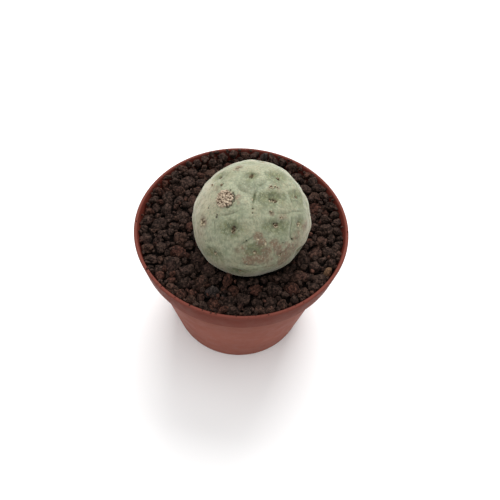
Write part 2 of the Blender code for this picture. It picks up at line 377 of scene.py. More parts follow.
# Swells that keep the stem from being round: azimuth, elevation, radius in degrees and height in mm
SWELLS = (
    (-133, -21, 22.0, 0.60),
    (-68, -27, 16.0, -0.70),
    (158, 27, 28.0, -0.55),
    (130, 42, 18.0, -0.40),
    (-8, 3, 15.0, 0.40),
    (30, 30, 14.0, -0.20),
    (80, 0, 24.0, 0.35),
)


def all_areoles(sizes):
    """The named areoles, then the back and the foot of the stem filled at an even spacing."""
    rng = random.Random(AREOLE_SEED)
    placed = dict(NAMED_AREOLES)
    spacing = math.radians(sizes.areole_spacing)
    for number in range(BACK_PLACES):
        height = 1 - 2 * (number + 0.5) / BACK_PLACES
        azimuth = number * GOLDEN_ANGLE
        aim = direction(azimuth, math.asin(height))
        nearest = min(aim.angle(other.aim) for other in placed.values())
        if height < HIDDEN_BELOW or nearest < spacing:
            continue
        placed[f"back_{len(placed)}"] = Areole(
            math.degrees(azimuth),
            math.degrees(math.asin(height)),
            pit=rng.uniform(0.7, 1.2),
            halo=rng.uniform(0.6, 1.1),
            wide=rng.uniform(0.9, 1.5),
            tuft=(rng.uniform(0.4, 0.9), rng.uniform(0.35, 0.8)),
            wool=rng.uniform(0.2, 0.7),
            holes=[(rng.uniform(-0.4, 0.4), rng.uniform(0.0, 0.5), rng.uniform(0.2, 0.4))],
        )
    return placed


def scar_rim(scar):
    """Painted shadow along the right rim of the scar, where its dome stands up: a row of uneven dark holes.
    """
    rng = random.Random(SCAR_RIM_SEED)
    row = []
    for step in range(SCAR_RIM_STEPS + 1):
        turn = math.radians(SCAR_RIM_START + SCAR_RIM_SWEEP * step / SCAR_RIM_STEPS)
        out = SCAR_RIM + rng.uniform(-0.15, 0.2) * MM
        aim = beside(scar.aim, out * math.cos(turn), out * math.sin(turn))
        row.append((aim, rng.uniform(0.22, 0.5) * MM))
    return row


class StemSkin:
    """The skin's relief and finish, worked out for many directions at once."""

    # Heights, as shares of the radius, between which the relief fades out below the grit
    FADE_LOW = -0.75
    FADE_HIGH = -0.5
    # The ridge beside a groove between two cells
    CREST_OUT = 0.9 * MM
    CREST_WIDTH = 0.5 * MM
    CREST_HEIGHT = 0.04 * MM
    # The small cleft under a tuft: lift, width, and reach above and below
    CLEFT = (0.15 * MM, 0.75 * MM, 0.45 * MM, 0.6 * MM)
    CLEFT_DEPTH = 0.20 * MM
    HOLE_DEPTH = 0.35 * MM
    CORK_ROUGHNESS = 0.05 * MM
    # How far the ball is wider from left to right and lower at its top
    WIDENED = 0.10 * MM
    LOWERED = 0.30 * MM

    def __init__(self, sizes):
        self.sizes = sizes
        self.areoles = all_areoles(sizes)
        kept = list(self.areoles.values())
        self.sides = np.array([tangents(areole.aim)[0] for areole in kept])
        self.ups = np.array([tangents(areole.aim)[1] for areole in kept])
        self.aims, self.pit, self.halo, self.wide, self.aside, self.lift, self.tuft = (
            np.array([getattr(areole, name) for areole in kept])
            for name in ("aim", "pit", "halo", "wide", "aside", "lift", "tuft")
        )
        self.holes = [hole for areole in kept for hole in areole.holes]
        self.holes += [(place_aim(azimuth, elevation), radius * MM) for azimuth, elevation, radius in NICKS]
        self.holes += scar_rim(NAMED_AREOLES["scar"])
        self.share = self.border_shares()

    def border_shares(self):
        """Depth share of the groove between each two cells: faint where fine grooves are listed."""
        rng = random.Random(BORDER_SEED)
        named = len(NAMED_AREOLES)
        count = len(self.areoles)
        share = np.ones((count, count))
        for first in range(count):
            for second in range(first):
                value = rng.uniform(0.08, 0.42)
                if second < named:
                    value *= 0.2 if first < named else 0.6
                share[first, second] = share[second, first] = value
        return share

    def borders(self, aims):
        """Index of the nearest areole, distance to its cell's border and the border's depth share."""
        warped = aims + 0.035 * noise_vectors(aims, 2.3, 4) + 0.008 * noise_vectors(aims, 9.0, 7)
        warped /= np.linalg.norm(warped, axis=1)[:, None]
        angles = np.arccos(np.clip(warped @ self.aims.T, -1, 1))
        order = np.argsort(angles, axis=1)
        nearest, second = order[:, 0], order[:, 1]
        rows = np.arange(len(aims))
        border = (angles[rows, second] - angles[rows, nearest]) / 2 * STEM_RADIUS
        return nearest, border, self.share[nearest, second]

    def busy(self, aims):
        """How much fine detail there is at each place: lines, holes and tufts."""
        _, border, share = self.borders(aims)
        line = share * np.exp(-((border / (0.5 * self.sizes.groove_width)) ** 2))
        fine_line, _, _ = groove_values(aims)
        return np.maximum(np.maximum(line, fine_line), self.hole_values(aims, 1.6))

    def measure(self, aims):
        """Height of the skin above the plain ball, and the finish values, for unit directions."""
        sizes = self.sizes
        nearest, border, share = self.borders(aims)
        fade = smooth_steps(self.FADE_LOW, self.FADE_HIGH, aims[:, 2])

        line = share * np.exp(-((border / (0.5 * sizes.groove_width)) ** 2))
        crest = share * np.exp(-(((border - self.CREST_OUT) / self.CREST_WIDTH) ** 2))
        valley = (0.4 + 0.6 * share) * np.exp(-((border / sizes.shoulder_width) ** 2))
        fine_line, fine_crest, fine_valley = groove_values(aims)
        worn = 1 + 0.35 * noise_values(aims, 11.0, 71)
        line = np.maximum(line, fine_line) * worn
        crest = np.maximum(crest, fine_crest)
        hollow = patches(aims, HOLLOWS, 2)
        crest *= np.clip(1.1 - hollow, 0, 1)
        valley = np.maximum(np.maximum(valley, fine_valley), hollow)

        offset = aims - self.aims[nearest]
        across = (offset * self.sides[nearest]).sum(axis=1) * STEM_RADIUS / self.wide[nearest]
        along = (offset * self.ups[nearest]).sum(axis=1) * STEM_RADIUS
        ragged = 1 + 0.22 * noise_values(aims, 5.0, 3)
        width = sizes.pit_width * ragged
        lift = self.lift[nearest]
        pit = self.pit[nearest] * bowl(across, along, 0.6 * lift, width, 0.68 * width, 1.2 * width)
        cleft = self.pit[nearest] * bowl(across, along, *self.CLEFT)
        off = across - self.aside[nearest] / self.wide[nearest]
        inner = bowl(off, along, lift, 1.1 * width, 0.75 * width, 0.8 * width)
        outer = bowl(off, along, lift - 0.85 * MM, 1.45 * width, 1.1 * width, 1.5 * width)
        halo = self.halo[nearest] * (0.75 * inner + 0.58 * outer)
        holes = self.hole_values(aims, 1.0)

        height = self.WIDENED * aims[:, 0] ** 2 - self.LOWERED * np.maximum(aims[:, 2], 0) ** 2
        height -= sizes.groove_depth * line + sizes.valley_depth * valley
        height -= sizes.pit_depth * pit + self.CLEFT_DEPTH * cleft + self.HOLE_DEPTH * holes
        height += self.CREST_HEIGHT * crest
        height += 0.16 * MM * noise_values(aims, 2.0, 11) + 0.06 * MM * noise_values(aims, 6.0, 21)
        height += 0.016 * MM * noise_values(aims, 26.0, 31)
        for azimuth, elevation, radius, swell in SWELLS:
            height += swell * MM * np.exp(-((angles_from(aims, azimuth, elevation) / radius) ** 2))
        cork = self.cork(aims)
        height += self.CORK_ROUGHNESS * cork * noise_values(aims, 22.0, 41)
        return height * fade, {
            "groove": line * fade,
            "valley": valley * fade,
            "halo": halo * fade,
            "crest": crest * fade,
            "stain": self.stain(nearest, across * self.wide[nearest], along) * fade,
            "hole": holes * fade,
            "cork": cork,
            "pale": np.clip(patches(aims, PALE_AND_PAINTED_LIGHT_PATCHES, 2), 0, 1),
        }

    def stain(self, nearest, across, along):
        """Brown stain of the skin round a tuft."""
        half = self.tuft[nearest] * MM
        grown = half[:, 0] > 0
        side = 0.9 * half[:, 0] + 0.45 * MM
        up = 0.9 * half[:, 1] + 0.45 * MM
        return np.exp(-((across / side) ** 2 + (along / up) ** 2)) * grown

    def hole_values(self, aims, widen):
        """Depth of the small dark holes and nicks, from 0 to 1, with their radius widened."""
        depth = np.zeros(len(aims))
        for aim, radius in self.holes:
            gap = np.linalg.norm(aims - np.array(aim), axis=1) * STEM_RADIUS
            depth = np.maximum(depth, np.exp(-((gap / (widen * radius)) ** 3)))
        return depth

    def cork(self, aims):
        """Share of dry brown cork on the skin, in ragged patches."""
        ragged = 0.55 * noise_values(aims, 7.0, 51) + 0.6 * noise_values(aims, 17.0, 61)
        return np.clip(patches(aims, CORK_PATCHES, 3) * (1.0 + ragged * 1.2), 0, 1)


def angles_from(aims, azimuth, elevation):
    """Angles of many directions from one place, in degrees."""
    return np.degrees(np.arccos(np.clip(aims @ np.array(place_aim(azimuth, elevation)), -1, 1)))


def patches(aims, places, power):
    """Highest strength of several round patches; a higher power gives them a harder edge."""
    total = np.zeros(len(aims))
    for azimuth, elevation, radius, strength in places:
        share = np.exp(-((angles_from(aims, azimuth, elevation) / radius) ** power))
        total = np.maximum(total, strength * share)
    return total


def bowl(across, along, lift, width, above, below):
    """Smooth hollow that is steeper on one side: 1 in the middle, which lies lifted upwards."""
    reach = np.where(along > lift, above, below)
    return np.exp(-((across / width) ** 2 + ((along - lift) / reach) ** 2))


def groove_values(aims):
    """Strength of the fine grooves, of the ridges beside them and of the valleys that they run in."""
    line, crest, valley = (np.zeros(len(aims)) for _ in range(3))
    for groove in GROOVES:
        for start, stop, first, last in groove.spans():
            span = np.array(stop - start)
            from_start = aims - np.array(start)
            share = np.clip(from_start @ span / (span @ span), 0, 1)
            gap = np.linalg.norm(from_start - share[:, None] * span, axis=1) * STEM_RADIUS
            kept = first + (last - first) * share
            ridge = np.exp(-(((gap - groove.reach) / Groove.RIDGE_WIDTH) ** 2))
            line = np.maximum(line, groove.line * kept * np.exp(-((gap / Groove.LINE_WIDTH) ** 2)))
            crest = np.maximum(crest, groove.valley * kept * ridge)
            valley = np.maximum(valley, groove.valley * kept * np.exp(-((gap / groove.reach) ** 2)))
    return line, crest, valley


def noise_at(aims, frequency, offset):
    """Smooth noise from -1 to 1 at each direction, from a place of its own in the noise."""
    return np.array([noise.noise(Vector(aim) * frequency + offset) for aim in aims])


def noise_values(aims, frequency, shift):
    """Smooth noise of the skin at each direction; each shift gives another pattern."""
    return noise_at(aims, frequency, Vector((shift * 3.7, shift * 1.3, -shift * 2.1)))


def noise_vectors(aims, frequency, shift):
    """Smooth noise vectors at each direction; each shift gives another pattern."""
    noise.seed_set(WARP_SEED)
    offset = Vector((shift * 2.9, -shift * 1.7, shift * 0.9))
    return np.array([noise.noise_vector(Vector(aim) * frequency + offset) for aim in aims])


def smooth_steps(low, high, values):
    """Ease from 0 at low to 1 at high, for an array."""
    share = np.clip((values - low) / (high - low), 0, 1)
    return share * share * (3 - 2 * share)


# ---------------------------------------------------------------- meshes

def mesh_of(name, bm):
    """Turn a bmesh into a mesh."""
    mesh = bpy.data.meshes.new(name)
    bm.to_mesh(mesh)
    bm.free()
    return mesh


def put_in_scene(name, data):
    """New object in the scene for a mesh, a lamp or a camera."""
    made = bpy.data.objects.new(name, data)
    bpy.context.scene.collection.objects.link(made)
    return made


def finish_piece(name, bm, look, replaced=(), attributes=None):
    """Turn a bmesh into a named piece that rides on the part's one body."""
    mesh = mesh_of(name, bm)
    mesh.materials.append(look)
    for attribute, values in (attributes or {}).items():
        layer = mesh.attributes.new(attribute, "FLOAT", "POINT")
        layer.data.foreach_set("value", np.asarray(values, np.float32))
    mesh.shade_smooth()
    piece = put_in_scene(name, mesh)
    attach(piece, "root")
    if replaced:
        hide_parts(*replaced)
    return piece


def turned(outline, steps):
    """Spin a closed (radius, height) outline about the Z axis."""
    bm = bmesh.new()
    verts = [bm.verts.new((radius, 0.0, height)) for radius, height in outline]
    edges = [bm.edges.new(pair) for pair in zip(verts, verts[1:] + verts[:1])]
    bmesh.ops.spin(
        bm,
        geom=verts + edges,
        cent=(0, 0, 0),
        axis=(0, 0, 1),
        angle=math.tau,
        steps=steps,
        use_merge=True,
    )
    bmesh.ops.remove_doubles(bm, verts=bm.verts, dist=0.001 * MM)
    bmesh.ops.recalc_face_normals(bm, faces=bm.faces)
    return bm


def add_ball(bm, detail, shape):
    """Add a ball to a mesh, its points placed by a function of their directions; returns their number."""
    ball = bmesh.new()
    bmesh.ops.create_icosphere(ball, subdivisions=detail, radius=1.0)
    aims = np.array([vert.co.normalized() for vert in ball.verts])
    for vert, point in zip(ball.verts, shape(aims)):
        vert.co = point
    loose = mesh_of("ball", ball)
    bm.from_mesh(loose)
    bpy.data.meshes.remove(loose)
    return len(aims)


def add_lump(bm, centre, radius, rng, detail=2, stretch=(1, 1, 1), rough=0.12):
    """Add one rough round lump to a mesh and return the number of its points."""
    offset = random_offset(rng)
    turn = random_turn(rng)

    def shape(aims):
        broad = noise_at(aims, 1.3, offset)
        fine = noise_at(aims, 3.1, offset)
        swell = radius * (1 + rough * broad + 0.5 * rough * fine)
        return (aims * np.array(stretch) * swell[:, None]) @ turn.T + np.array(centre)

    return add_ball(bm, detail, shape)


def random_offset(rng):
    """Random place in the noise, so that no two lumps are alike."""
    return Vector([rng.uniform(-90, 90) for _ in range(3)])


def random_turn(rng):
    """Rotation by a random angle about a random axis."""
    return np.array(Matrix.Rotation(rng.uniform(0, math.tau), 3, random_axis(rng)))


def random_axis(rng):
    """Random unit vector."""
    return direction(rng.uniform(0, math.tau), math.asin(rng.uniform(-1, 1)))


# ---------------------------------------------------------------- materials

# Colours of the skin's marks: bleached patches that are partly painted light, specks, tuft stains and the
# painted shade of the holes
BLEACHED_AND_PAINTED_LIGHT = (0.46, 0.405, 0.295, 1)
SPECK = (0.10, 0.08, 0.05, 1)
TUFT_STAIN = (0.118, 0.084, 0.044, 1)
HOLE_SHADE = (0.040, 0.030, 0.018, 1)
# Colours of the plastic: scuffs, painted shade under the lip and on the inner wall, and dirt on the lip
SCUFF = (0.32, 0.17, 0.13, 1)
UNDER_LIP_SHADE = (0.115, 0.022, 0.012, 1)
INNER_WALL_SHADE = (0.185, 0.040, 0.028, 1)
LIP_DIRT = (0.045, 0.022, 0.016, 1)
# Dark, middle and light colour of each shade of lava
STONE_COLOURS = {
    "dark": ((0.0150, 0.0088, 0.0066, 1), (0.031, 0.0181, 0.0138, 1), (0.082, 0.049, 0.037, 1)),
    "red": ((0.022, 0.0096, 0.0068, 1), (0.046, 0.0198, 0.0140, 1), (0.113, 0.050, 0.034, 1)),
    "brown": ((0.020, 0.0108, 0.0076, 1), (0.042, 0.0222, 0.0160, 1), (0.102, 0.055, 0.039, 1)),
    "tan": ((0.056, 0.029, 0.016, 1), (0.110, 0.059, 0.033, 1), (0.215, 0.122, 0.070, 1)),
    "grey": ((0.0165, 0.0125, 0.0112, 1), (0.031, 0.0235, 0.0210, 1), (0.076, 0.058, 0.051, 1)),
}
# Near-black colours of the grit bed: painted shade in the gaps between the grains
BED_SHADE_COLOURS = ((0.004, 0.0028, 0.002, 1), (0.008, 0.005, 0.004, 1), (0.018, 0.011, 0.009, 1))
# Dark and light colour of the wool, the glochids, the scar's granules and the scar's bed
WOOL_COLOURS = (0.085, 0.055, 0.029, 1), (0.52, 0.45, 0.31, 1)
GLOCHID_COLOURS = (0.16, 0.08, 0.04, 1), (0.40, 0.28, 0.15, 1)
GRANULE_COLOURS = (0.17, 0.114, 0.075, 1), (0.49, 0.40, 0.295, 1)
SCAR_BED_COLOURS = (0.075, 0.047, 0.028, 1), (0.13, 0.085, 0.05, 1)
# The two whites of the floor
FLOOR_COLOURS = (0.95, 0.95, 0.95, 1), (0.93, 0.93, 0.93, 1)
# Sockets of a Mix node that mixes colours
MIX_SHARE, MIX_FIRST, MIX_SECOND, MIX_RESULT = 0, 6, 7, 2


class Surface:
    """A procedural material on one Principled shader, built up in object coordinates."""

    def __init__(self, name, roughness):
        self.material = bpy.data.materials.new(name)
        self.material.use_nodes = True
        self.tree = self.material.node_tree
        self.shader = self.tree.nodes["Principled BSDF"]
        self.shader.inputs["Roughness"].default_value = roughness
        self.place = self.node("ShaderNodeTexCoord").outputs["Object"]
        self.colour = None
        self.normal = None

    def node(self, kind, inputs=None, **settings):
        """Add a node, set its properties and feed its inputs."""
        made = self.tree.nodes.new(kind)
        for name, value in settings.items():
            setattr(made, name, value)
        for name, value in (inputs or {}).items():
            self.feed(made.inputs[name], value)
        return made

    def feed(self, target, value):
        """Link a socket, or set a plain value."""
        if isinstance(value, bpy.types.NodeSocket):
            self.tree.links.new(value, target)
        else:
            target.default_value = value

    def set(self, **inputs):
        """Set shader inputs; an underscore in a name stands for a space."""
        for name, value in inputs.items():
            self.feed(self.shader.inputs[name.replace("_", " ")], value)

    def noise(self, size, detail=4.0, roughness=0.55, stretch=None):
        """Noise of a feature size in metres, drawn out where an axis has a stretch below 1."""
        place = self.place
        if stretch:
            mapping = self.node("ShaderNodeMapping", {"Vector": place, "Scale": stretch})
            place = mapping.outputs["Vector"]
        inputs = {"Vector": place, "Scale": 1 / size, "Detail": detail, "Roughness": roughness}
        return self.node("ShaderNodeTexNoise", inputs).outputs["Fac"]

    def cells(self, size):
        """Distance from the middles of cells of a size in metres."""
        made = self.node("ShaderNodeTexVoronoi", {"Vector": self.place, "Scale": 1 / size})
        return made.outputs["Distance"]

    def attribute(self, name):
        """A value kept on the mesh's points."""
        return self.node("ShaderNodeAttribute", attribute_name=name).outputs["Fac"]

    def span(self, value, low, high, start=0.0, end=1.0):
        """Map a value's range onto another, eased and clamped."""
        inputs = {"Value": value, "From Min": low, "From Max": high, "To Min": start, "To Max": end}
        made = self.node("ShaderNodeMapRange", inputs, interpolation_type="SMOOTHSTEP")
        return made.outputs["Result"]

    def maths(self, operation, first, second):
        """Combine two values."""
        return self.node("ShaderNodeMath", {0: first, 1: second}, operation=operation).outputs[0]

    def blend(self, share, first, second):
        """Mix two colours."""
        inputs = {MIX_SHARE: share, MIX_FIRST: first, MIX_SECOND: second}
        return self.node("ShaderNodeMix", inputs, data_type="RGBA").outputs[MIX_RESULT]

    def height_axis(self):
        """The place's height."""
        return self.node("ShaderNodeSeparateXYZ", {"Vector": self.place}).outputs["Z"]

    def paint(self, share, colour):
        """Lay a colour over what is there by a share."""
        self.colour = self.blend(share, self.colour, colour)

    def bump(self, height, distance, strength=1.0):
        """Add a layer of bumps; distance is the height of a full step, in metres."""
        inputs = {"Strength": strength, "Distance": distance, "Height": height}
        if self.normal:
            inputs["Normal"] = self.normal
        self.normal = self.node("ShaderNodeBump", inputs).outputs["Normal"]

    def done(self):
        """Join colour and bumps to the shader and return the material."""
        self.feed(self.shader.inputs["Base Color"], self.colour)
        if self.normal:
            self.feed(self.shader.inputs["Normal"], self.normal)
        return self.material


def shade(colour, factor):
    """A colour made lighter or darker."""
    return (colour[0] * factor, colour[1] * factor, colour[2] * factor, 1)


def skin_material(sizes):
    """Waxy grey-green skin: pale bloom, greener pits, fine grooves and dry brown cork, with painted shade
    in the grooves, valleys, pits and holes, painted highlight on the ridges and painted light in the pale
    patches.
    """
    skin = Surface("waxy_cactus_skin", 0.6)
    skin.set(Specular_IOR_Level=0.3, Sheen_Weight=0.42, Sheen_Roughness=0.3)
    skin.set(Sheen_Tint=(1.0, 0.95, 0.82, 1.0))
    skin.set(Subsurface_Weight=0.06, Subsurface_Scale=1.0 * MM)
    green, bloom = tuple(sizes.green_colour), tuple(sizes.bloom_colour)
    cloudy = skin.span(skin.noise(4 * MM, 3.0), 0.35, 0.68)
    skin.colour = skin.blend(cloudy, bloom, green)
    warm = skin.span(skin.noise(7 * MM, 2.0), 0.42, 0.66, 0.0, 0.6)
    skin.paint(warm, tuple(sizes.warm_colour))
    patchy = skin.span(skin.noise(2.5 * MM, 4.0), 0.3, 0.6, 0.5, 1.0)
    # Bleached cream patches, partly painted light that brightens the shaded edges and the underside.
    skin.paint(skin.maths("MULTIPLY", skin.attribute("pale"), patchy), BLEACHED_AND_PAINTED_LIGHT)
    # Greener skin with less bloom in the valleys and hollows, partly painted shade.
    skin.paint(skin.span(skin.attribute("valley"), 0.0, 1.6, 0.0, 0.75), shade(green, 0.64))
    # Painted highlight along the ridges beside the grooves.
    crest = skin.span(skin.attribute("crest"), 0.0, 1.0, 0.0, 0.38)
    skin.paint(crest, shade(bloom, 1.25))
    # Greener bare skin round each pit, partly painted shade on the pit's upper wall.
    ragged = skin.span(skin.noise(1.5 * MM, 6.0, 0.7), 0.28, 0.72, 0.35, 1.25)
    halo = skin.span(skin.maths("MULTIPLY", skin.attribute("halo"), ragged), 0.03, 0.95)
    halo_tone = skin.span(skin.noise(1.4 * MM, 4.0), 0.35, 0.65)
    pit_colour = skin.blend(halo_tone, tuple(sizes.pit_colour), tuple(sizes.olive_colour))
    skin.paint(skin.maths("MULTIPLY", halo, 0.9), pit_colour)
    blotches = skin.span(skin.noise(1.6 * MM, 6.0, 0.7), 0.30, 0.66, 0.5, 1.05)
    cork = skin.span(skin.maths("MULTIPLY", skin.attribute("cork"), blotches), 0.0, 0.8, 0.0, 0.9)
    cork_tone = skin.span(skin.noise(0.7 * MM, 4.0), 0.35, 0.65)
    cork_colour = skin.blend(cork_tone, shade(sizes.cork_colour, 0.88), shade(sizes.cork_colour, 1.3))
    skin.paint(cork, cork_colour)
    streaks = skin.noise(0.55 * MM, 2.0, 0.6, stretch=(1, 1, 0.45))
    skin.paint(skin.span(streaks, 0.50, 0.66, 0.0, 0.42), shade(green, 0.55))
    skin.paint(skin.span(streaks, 0.48, 0.34, 0.0, 0.42), shade(bloom, 1.3))
    mottle = skin.noise(1.3 * MM, 4.0, 0.6)
    skin.paint(skin.span(mottle, 0.50, 0.66, 0.0, 0.40), shade(green, 0.68))
    skin.paint(skin.span(mottle, 0.48, 0.34, 0.0, 0.30), shade(bloom, 1.15))
    # Painted shade in the fine groove lines.
    groove = skin.span(skin.attribute("groove"), 0.05, 1.3, 0.0, 0.8)
    skin.paint(groove, shade(sizes.pit_colour, 0.85))
    specks = skin.span(skin.noise(0.42 * MM, 3.0, 0.7), 0.64, 0.74, 0.0, 0.6)
    skin.paint(specks, SPECK)
    skin.paint(skin.span(skin.attribute("stain"), 0.15, 1.0, 0.0, 0.6), TUFT_STAIN)
    # Painted shade in the holes and nicks, and painted shadow along the scar's rim where its dome stands
    # up.
    skin.paint(skin.span(skin.attribute("hole"), 0.1, 1.0, 0.0, 0.85), HOLE_SHADE)
    skin.bump(skin.noise(0.45 * MM, 5.0, 0.65), 0.06 * MM, 0.8)
    skin.bump(skin.maths("MULTIPLY", skin.attribute("cork"), skin.noise(0.5 * MM, 5.0)), 0.12 * MM)
    return skin.done()


def stone_material(name, colours):
    """Porous lava: pitted, with painted highlight on its crests and painted shade in its pits and pores,
    and a little different from grain to grain.
    """
    dark, mid, light = colours
    stone = Surface(name, 0.95)
    stone.set(Specular_IOR_Level=0.12)
    stone.colour = stone.blend(stone.attribute("tone"), dark, mid)
    maroon = (mid[0] * 1.12, mid[1] * 0.80, mid[2] * 0.95, 1)
    stone.paint(stone.span(stone.noise(3.2 * MM, 2.0), 0.5, 0.62, 0.0, 0.5), maroon)
    stone.paint(stone.span(stone.noise(1.6 * MM, 4.0), 0.44, 0.70, 0.0, 0.7), light)
    # Painted highlight on the crests that stand out, and painted shade in the pits.
    stone.paint(stone.span(stone.attribute("rise"), 0.0, 1.0, 0.0, 0.5), light)
    stone.paint(stone.span(stone.attribute("rise"), -0.1, -0.9, 0.0, 0.8), shade(dark, 0.4))
    grain = stone.noise(0.7 * MM, 3.0, 0.65)
    stone.paint(stone.span(grain, 0.52, 0.66, 0.0, 0.6), shade(light, 1.3))
    stone.paint(stone.span(grain, 0.47, 0.36, 0.0, 0.7), shade(dark, 0.45))
    # Painted shade in the pores.
    pores = stone.span(stone.cells(0.9 * MM), 0.08, 0.36)
    stone.paint(stone.span(pores, 0.0, 1.0, 0.75, 0.0), shade(dark, 0.25))
    stone.bump(pores, 0.22 * MM, 1.0)
    stone.bump(stone.noise(0.9 * MM, 6.0, 0.72), 0.55 * MM, 1.0)
    return stone.done()


def stone_look(shade_name):
    """The shared lava material of one shade."""
    name = "lava_" + shade_name
    return bpy.data.materials.get(name) or stone_material(name, STONE_COLOURS[shade_name])


def plastic_material(sizes):
    """Matt moulded plastic with a worn, dusty lip and grit dust on the collar, and painted shade under the
    lip, on the inner wall and on the body below the collar.
    """
    plastic = Surface("moulded_terracotta_plastic", 0.55)
    plastic.set(Specular_IOR_Level=0.05)
    base = tuple(sizes.plastic_colour)
    cloudy = plastic.span(plastic.noise(12 * MM, 3.0), 0.35, 0.7)
    plastic.colour = plastic.blend(cloudy, base, shade(base, 0.91))
    scuffs = plastic.span(plastic.noise(2.2 * MM, 6.0, 0.7), 0.52, 0.75, 0.0, 0.12)
    plastic.paint(scuffs, SCUFF)
    height = plastic.height_axis()
    collar_foot = RIM_HEIGHT - sizes.collar
    collar = plastic.span(height, collar_foot - 0.1 * MM, collar_foot + 0.3 * MM, 0.0, 0.9)
    # Painted shade: the body is darkened towards the collar, as if the collar shaded it.
    under_collar_shade = plastic.span(height, collar_foot - 22 * MM, collar_foot - 4 * MM, 0.0, 0.8)
    plastic.paint(under_collar_shade, shade(base, 0.76))
    plastic.paint(collar, tuple(sizes.collar_colour))
    # Painted shade under the overhanging lip: the collar grows darker towards the lip.
    under_lip_shade = plastic.span(height, collar_foot + 1.0 * MM, RIM_HEIGHT - 1.2 * MM, 0.0, 0.9)
    plastic.paint(under_lip_shade, UNDER_LIP_SHADE)
    soiled = plastic.span(plastic.noise(1.5 * MM, 5.0, 0.65), 0.45, 0.7, 0.0, 0.3)
    plastic.paint(plastic.maths("MULTIPLY", soiled, collar), shade(base, 0.45))
    lip = plastic.span(height, RIM_HEIGHT - 1.1 * MM, RIM_HEIGHT - 0.3 * MM, 0.0, 0.7)
    plastic.paint(lip, tuple(sizes.lip_colour))
    # Painted shade: the inner wall of the pot takes a darker copy of the plastic's red.
    inside = plastic.attribute("inside")
    plastic.paint(plastic.maths("MULTIPLY", inside, 0.85), INNER_WALL_SHADE)
    near_lip = plastic.span(height, RIM_HEIGHT - 3.0 * MM, RIM_HEIGHT - 0.2 * MM)
    crumbs = plastic.span(plastic.noise(0.7 * MM, 3.0, 0.6), 0.64, 0.70, 0.0, 0.8)
    plastic.paint(plastic.maths("MULTIPLY", crumbs, near_lip), LIP_DIRT)
    plastic.set(Roughness=plastic.span(plastic.noise(4 * MM, 4.0), 0.3, 0.7, 0.52, 0.66))
    plastic.bump(plastic.noise(0.5 * MM, 3.0), 0.012 * MM, 0.6)
    plastic.bump(plastic.noise(7 * MM, 2.0), 0.12 * MM, 0.5)
    return plastic.done()


def cork_material(name, dark, light):
    """Dry corky stuff of an areole or the scar, each crumb in a tone of its own."""
    cork = Surface(name, 0.9)
    cork.set(Specular_IOR_Level=0.2)
    tone = cork.span(cork.attribute("tone"), 0.0, 1.0)
    cork.colour = cork.blend(tone, dark, light)
    cork.paint(cork.span(cork.noise(0.25 * MM, 3.0), 0.5, 0.75, 0.0, 0.5), shade(dark, 0.8))
    cork.bump(cork.noise(0.2 * MM, 4.0), 0.06 * MM)
    return cork.done()


# ---------------------------------------------------------------- properties

class CactusPotSizes(bpy.types.PropertyGroup):
    """Sizes and colour of the nursery pot."""

    lip: FloatProperty(name="Lip", description="Thickness of the lip", default=1.1 * MM, unit="LENGTH")
    wall: FloatProperty(name="Wall", description="Wall thickness", default=0.95 * MM, unit="LENGTH")
    collar: FloatProperty(
        name="Collar", description="Height of the collar band", default=COLLAR_HEIGHT, unit="LENGTH"
    )
    sides: IntProperty(name="Sides", description="Sides of the turned wall", default=160)
    plastic_colour: FloatVectorProperty(
        name="Plastic",
        description="Colour of the plastic",
        default=(0.255, 0.085, 0.060, 1.0),
        size=4,
        subtype="COLOR",
    )
    collar_colour: FloatVectorProperty(
        name="Collar colour",
        description="Colour of the darker collar band",
        default=(0.150, 0.041, 0.028, 1.0),
        size=4,
        subtype="COLOR",
    )
    lip_colour: FloatVectorProperty(
        name="Lip colour",
        description="Colour of the worn lip",
        default=(0.160, 0.050, 0.038, 1.0),
        size=4,
        subtype="COLOR",
    )


class CactusStemSizes(bpy.types.PropertyGroup):
    """Sizes and colours of the stem."""

    areole_spacing: FloatProperty(
        name="Spacing", description="Angle between areoles at the back, in degrees", default=33.0
    )
    groove_depth: FloatProperty(
        name="Groove depth", description="Depth of a groove's fine line", default=0.30 * MM, unit="LENGTH"
    )
    valley_depth: FloatProperty(
        name="Valley depth", description="Depth of the soft valley", default=0.36 * MM, unit="LENGTH"
    )
    groove_width: FloatProperty(
        name="Groove width", description="Width of a groove's fine line", default=0.55 * MM, unit="LENGTH"
    )
    shoulder_width: FloatProperty(
        name="Shoulder", description="Reach of a groove's shoulder", default=1.6 * MM, unit="LENGTH"
    )
    pit_depth: FloatProperty(
        name="Pit depth", description="Depth of an areole's pit", default=0.8 * MM, unit="LENGTH"
    )
    pit_width: FloatProperty(
        name="Pit width", description="Reach of an areole's pit", default=2.3 * MM, unit="LENGTH"
    )
    detail: IntProperty(name="Detail", description="Subdivisions of the stem's skin", default=6)
    bloom_colour: FloatVectorProperty(
        name="Bloom",
        description="Colour of the waxy bloom",
        default=(0.280, 0.290, 0.198, 1.0),
        size=4,
        subtype="COLOR",
    )
    warm_colour: FloatVectorProperty(
        name="Warm",
        description="Colour of the yellower clouds in the bloom",
        default=(0.310, 0.282, 0.182, 1.0),
        size=4,
        subtype="COLOR",
    )
    green_colour: FloatVectorProperty(
        name="Green",
        description="Colour of the skin with less bloom",
        default=(0.205, 0.228, 0.142, 1.0),
        size=4,
        subtype="COLOR",
    )
    pit_colour: FloatVectorProperty(
        name="Pit",
        description="Colour of the bare skin in the pits",
        default=(0.084, 0.098, 0.049, 1.0),
        size=4,
        subtype="COLOR",
    )
    olive_colour: FloatVectorProperty(
        name="Olive",
        description="Colour of the yellower green in the pits",
        default=(0.150, 0.160, 0.075, 1.0),
        size=4,
        subtype="COLOR",
    )
    cork_colour: FloatVectorProperty(
        name="Cork",
        description="Colour of the dry cork",
        default=(0.152, 0.091, 0.058, 1.0),
        size=4,
        subtype="COLOR",
    )


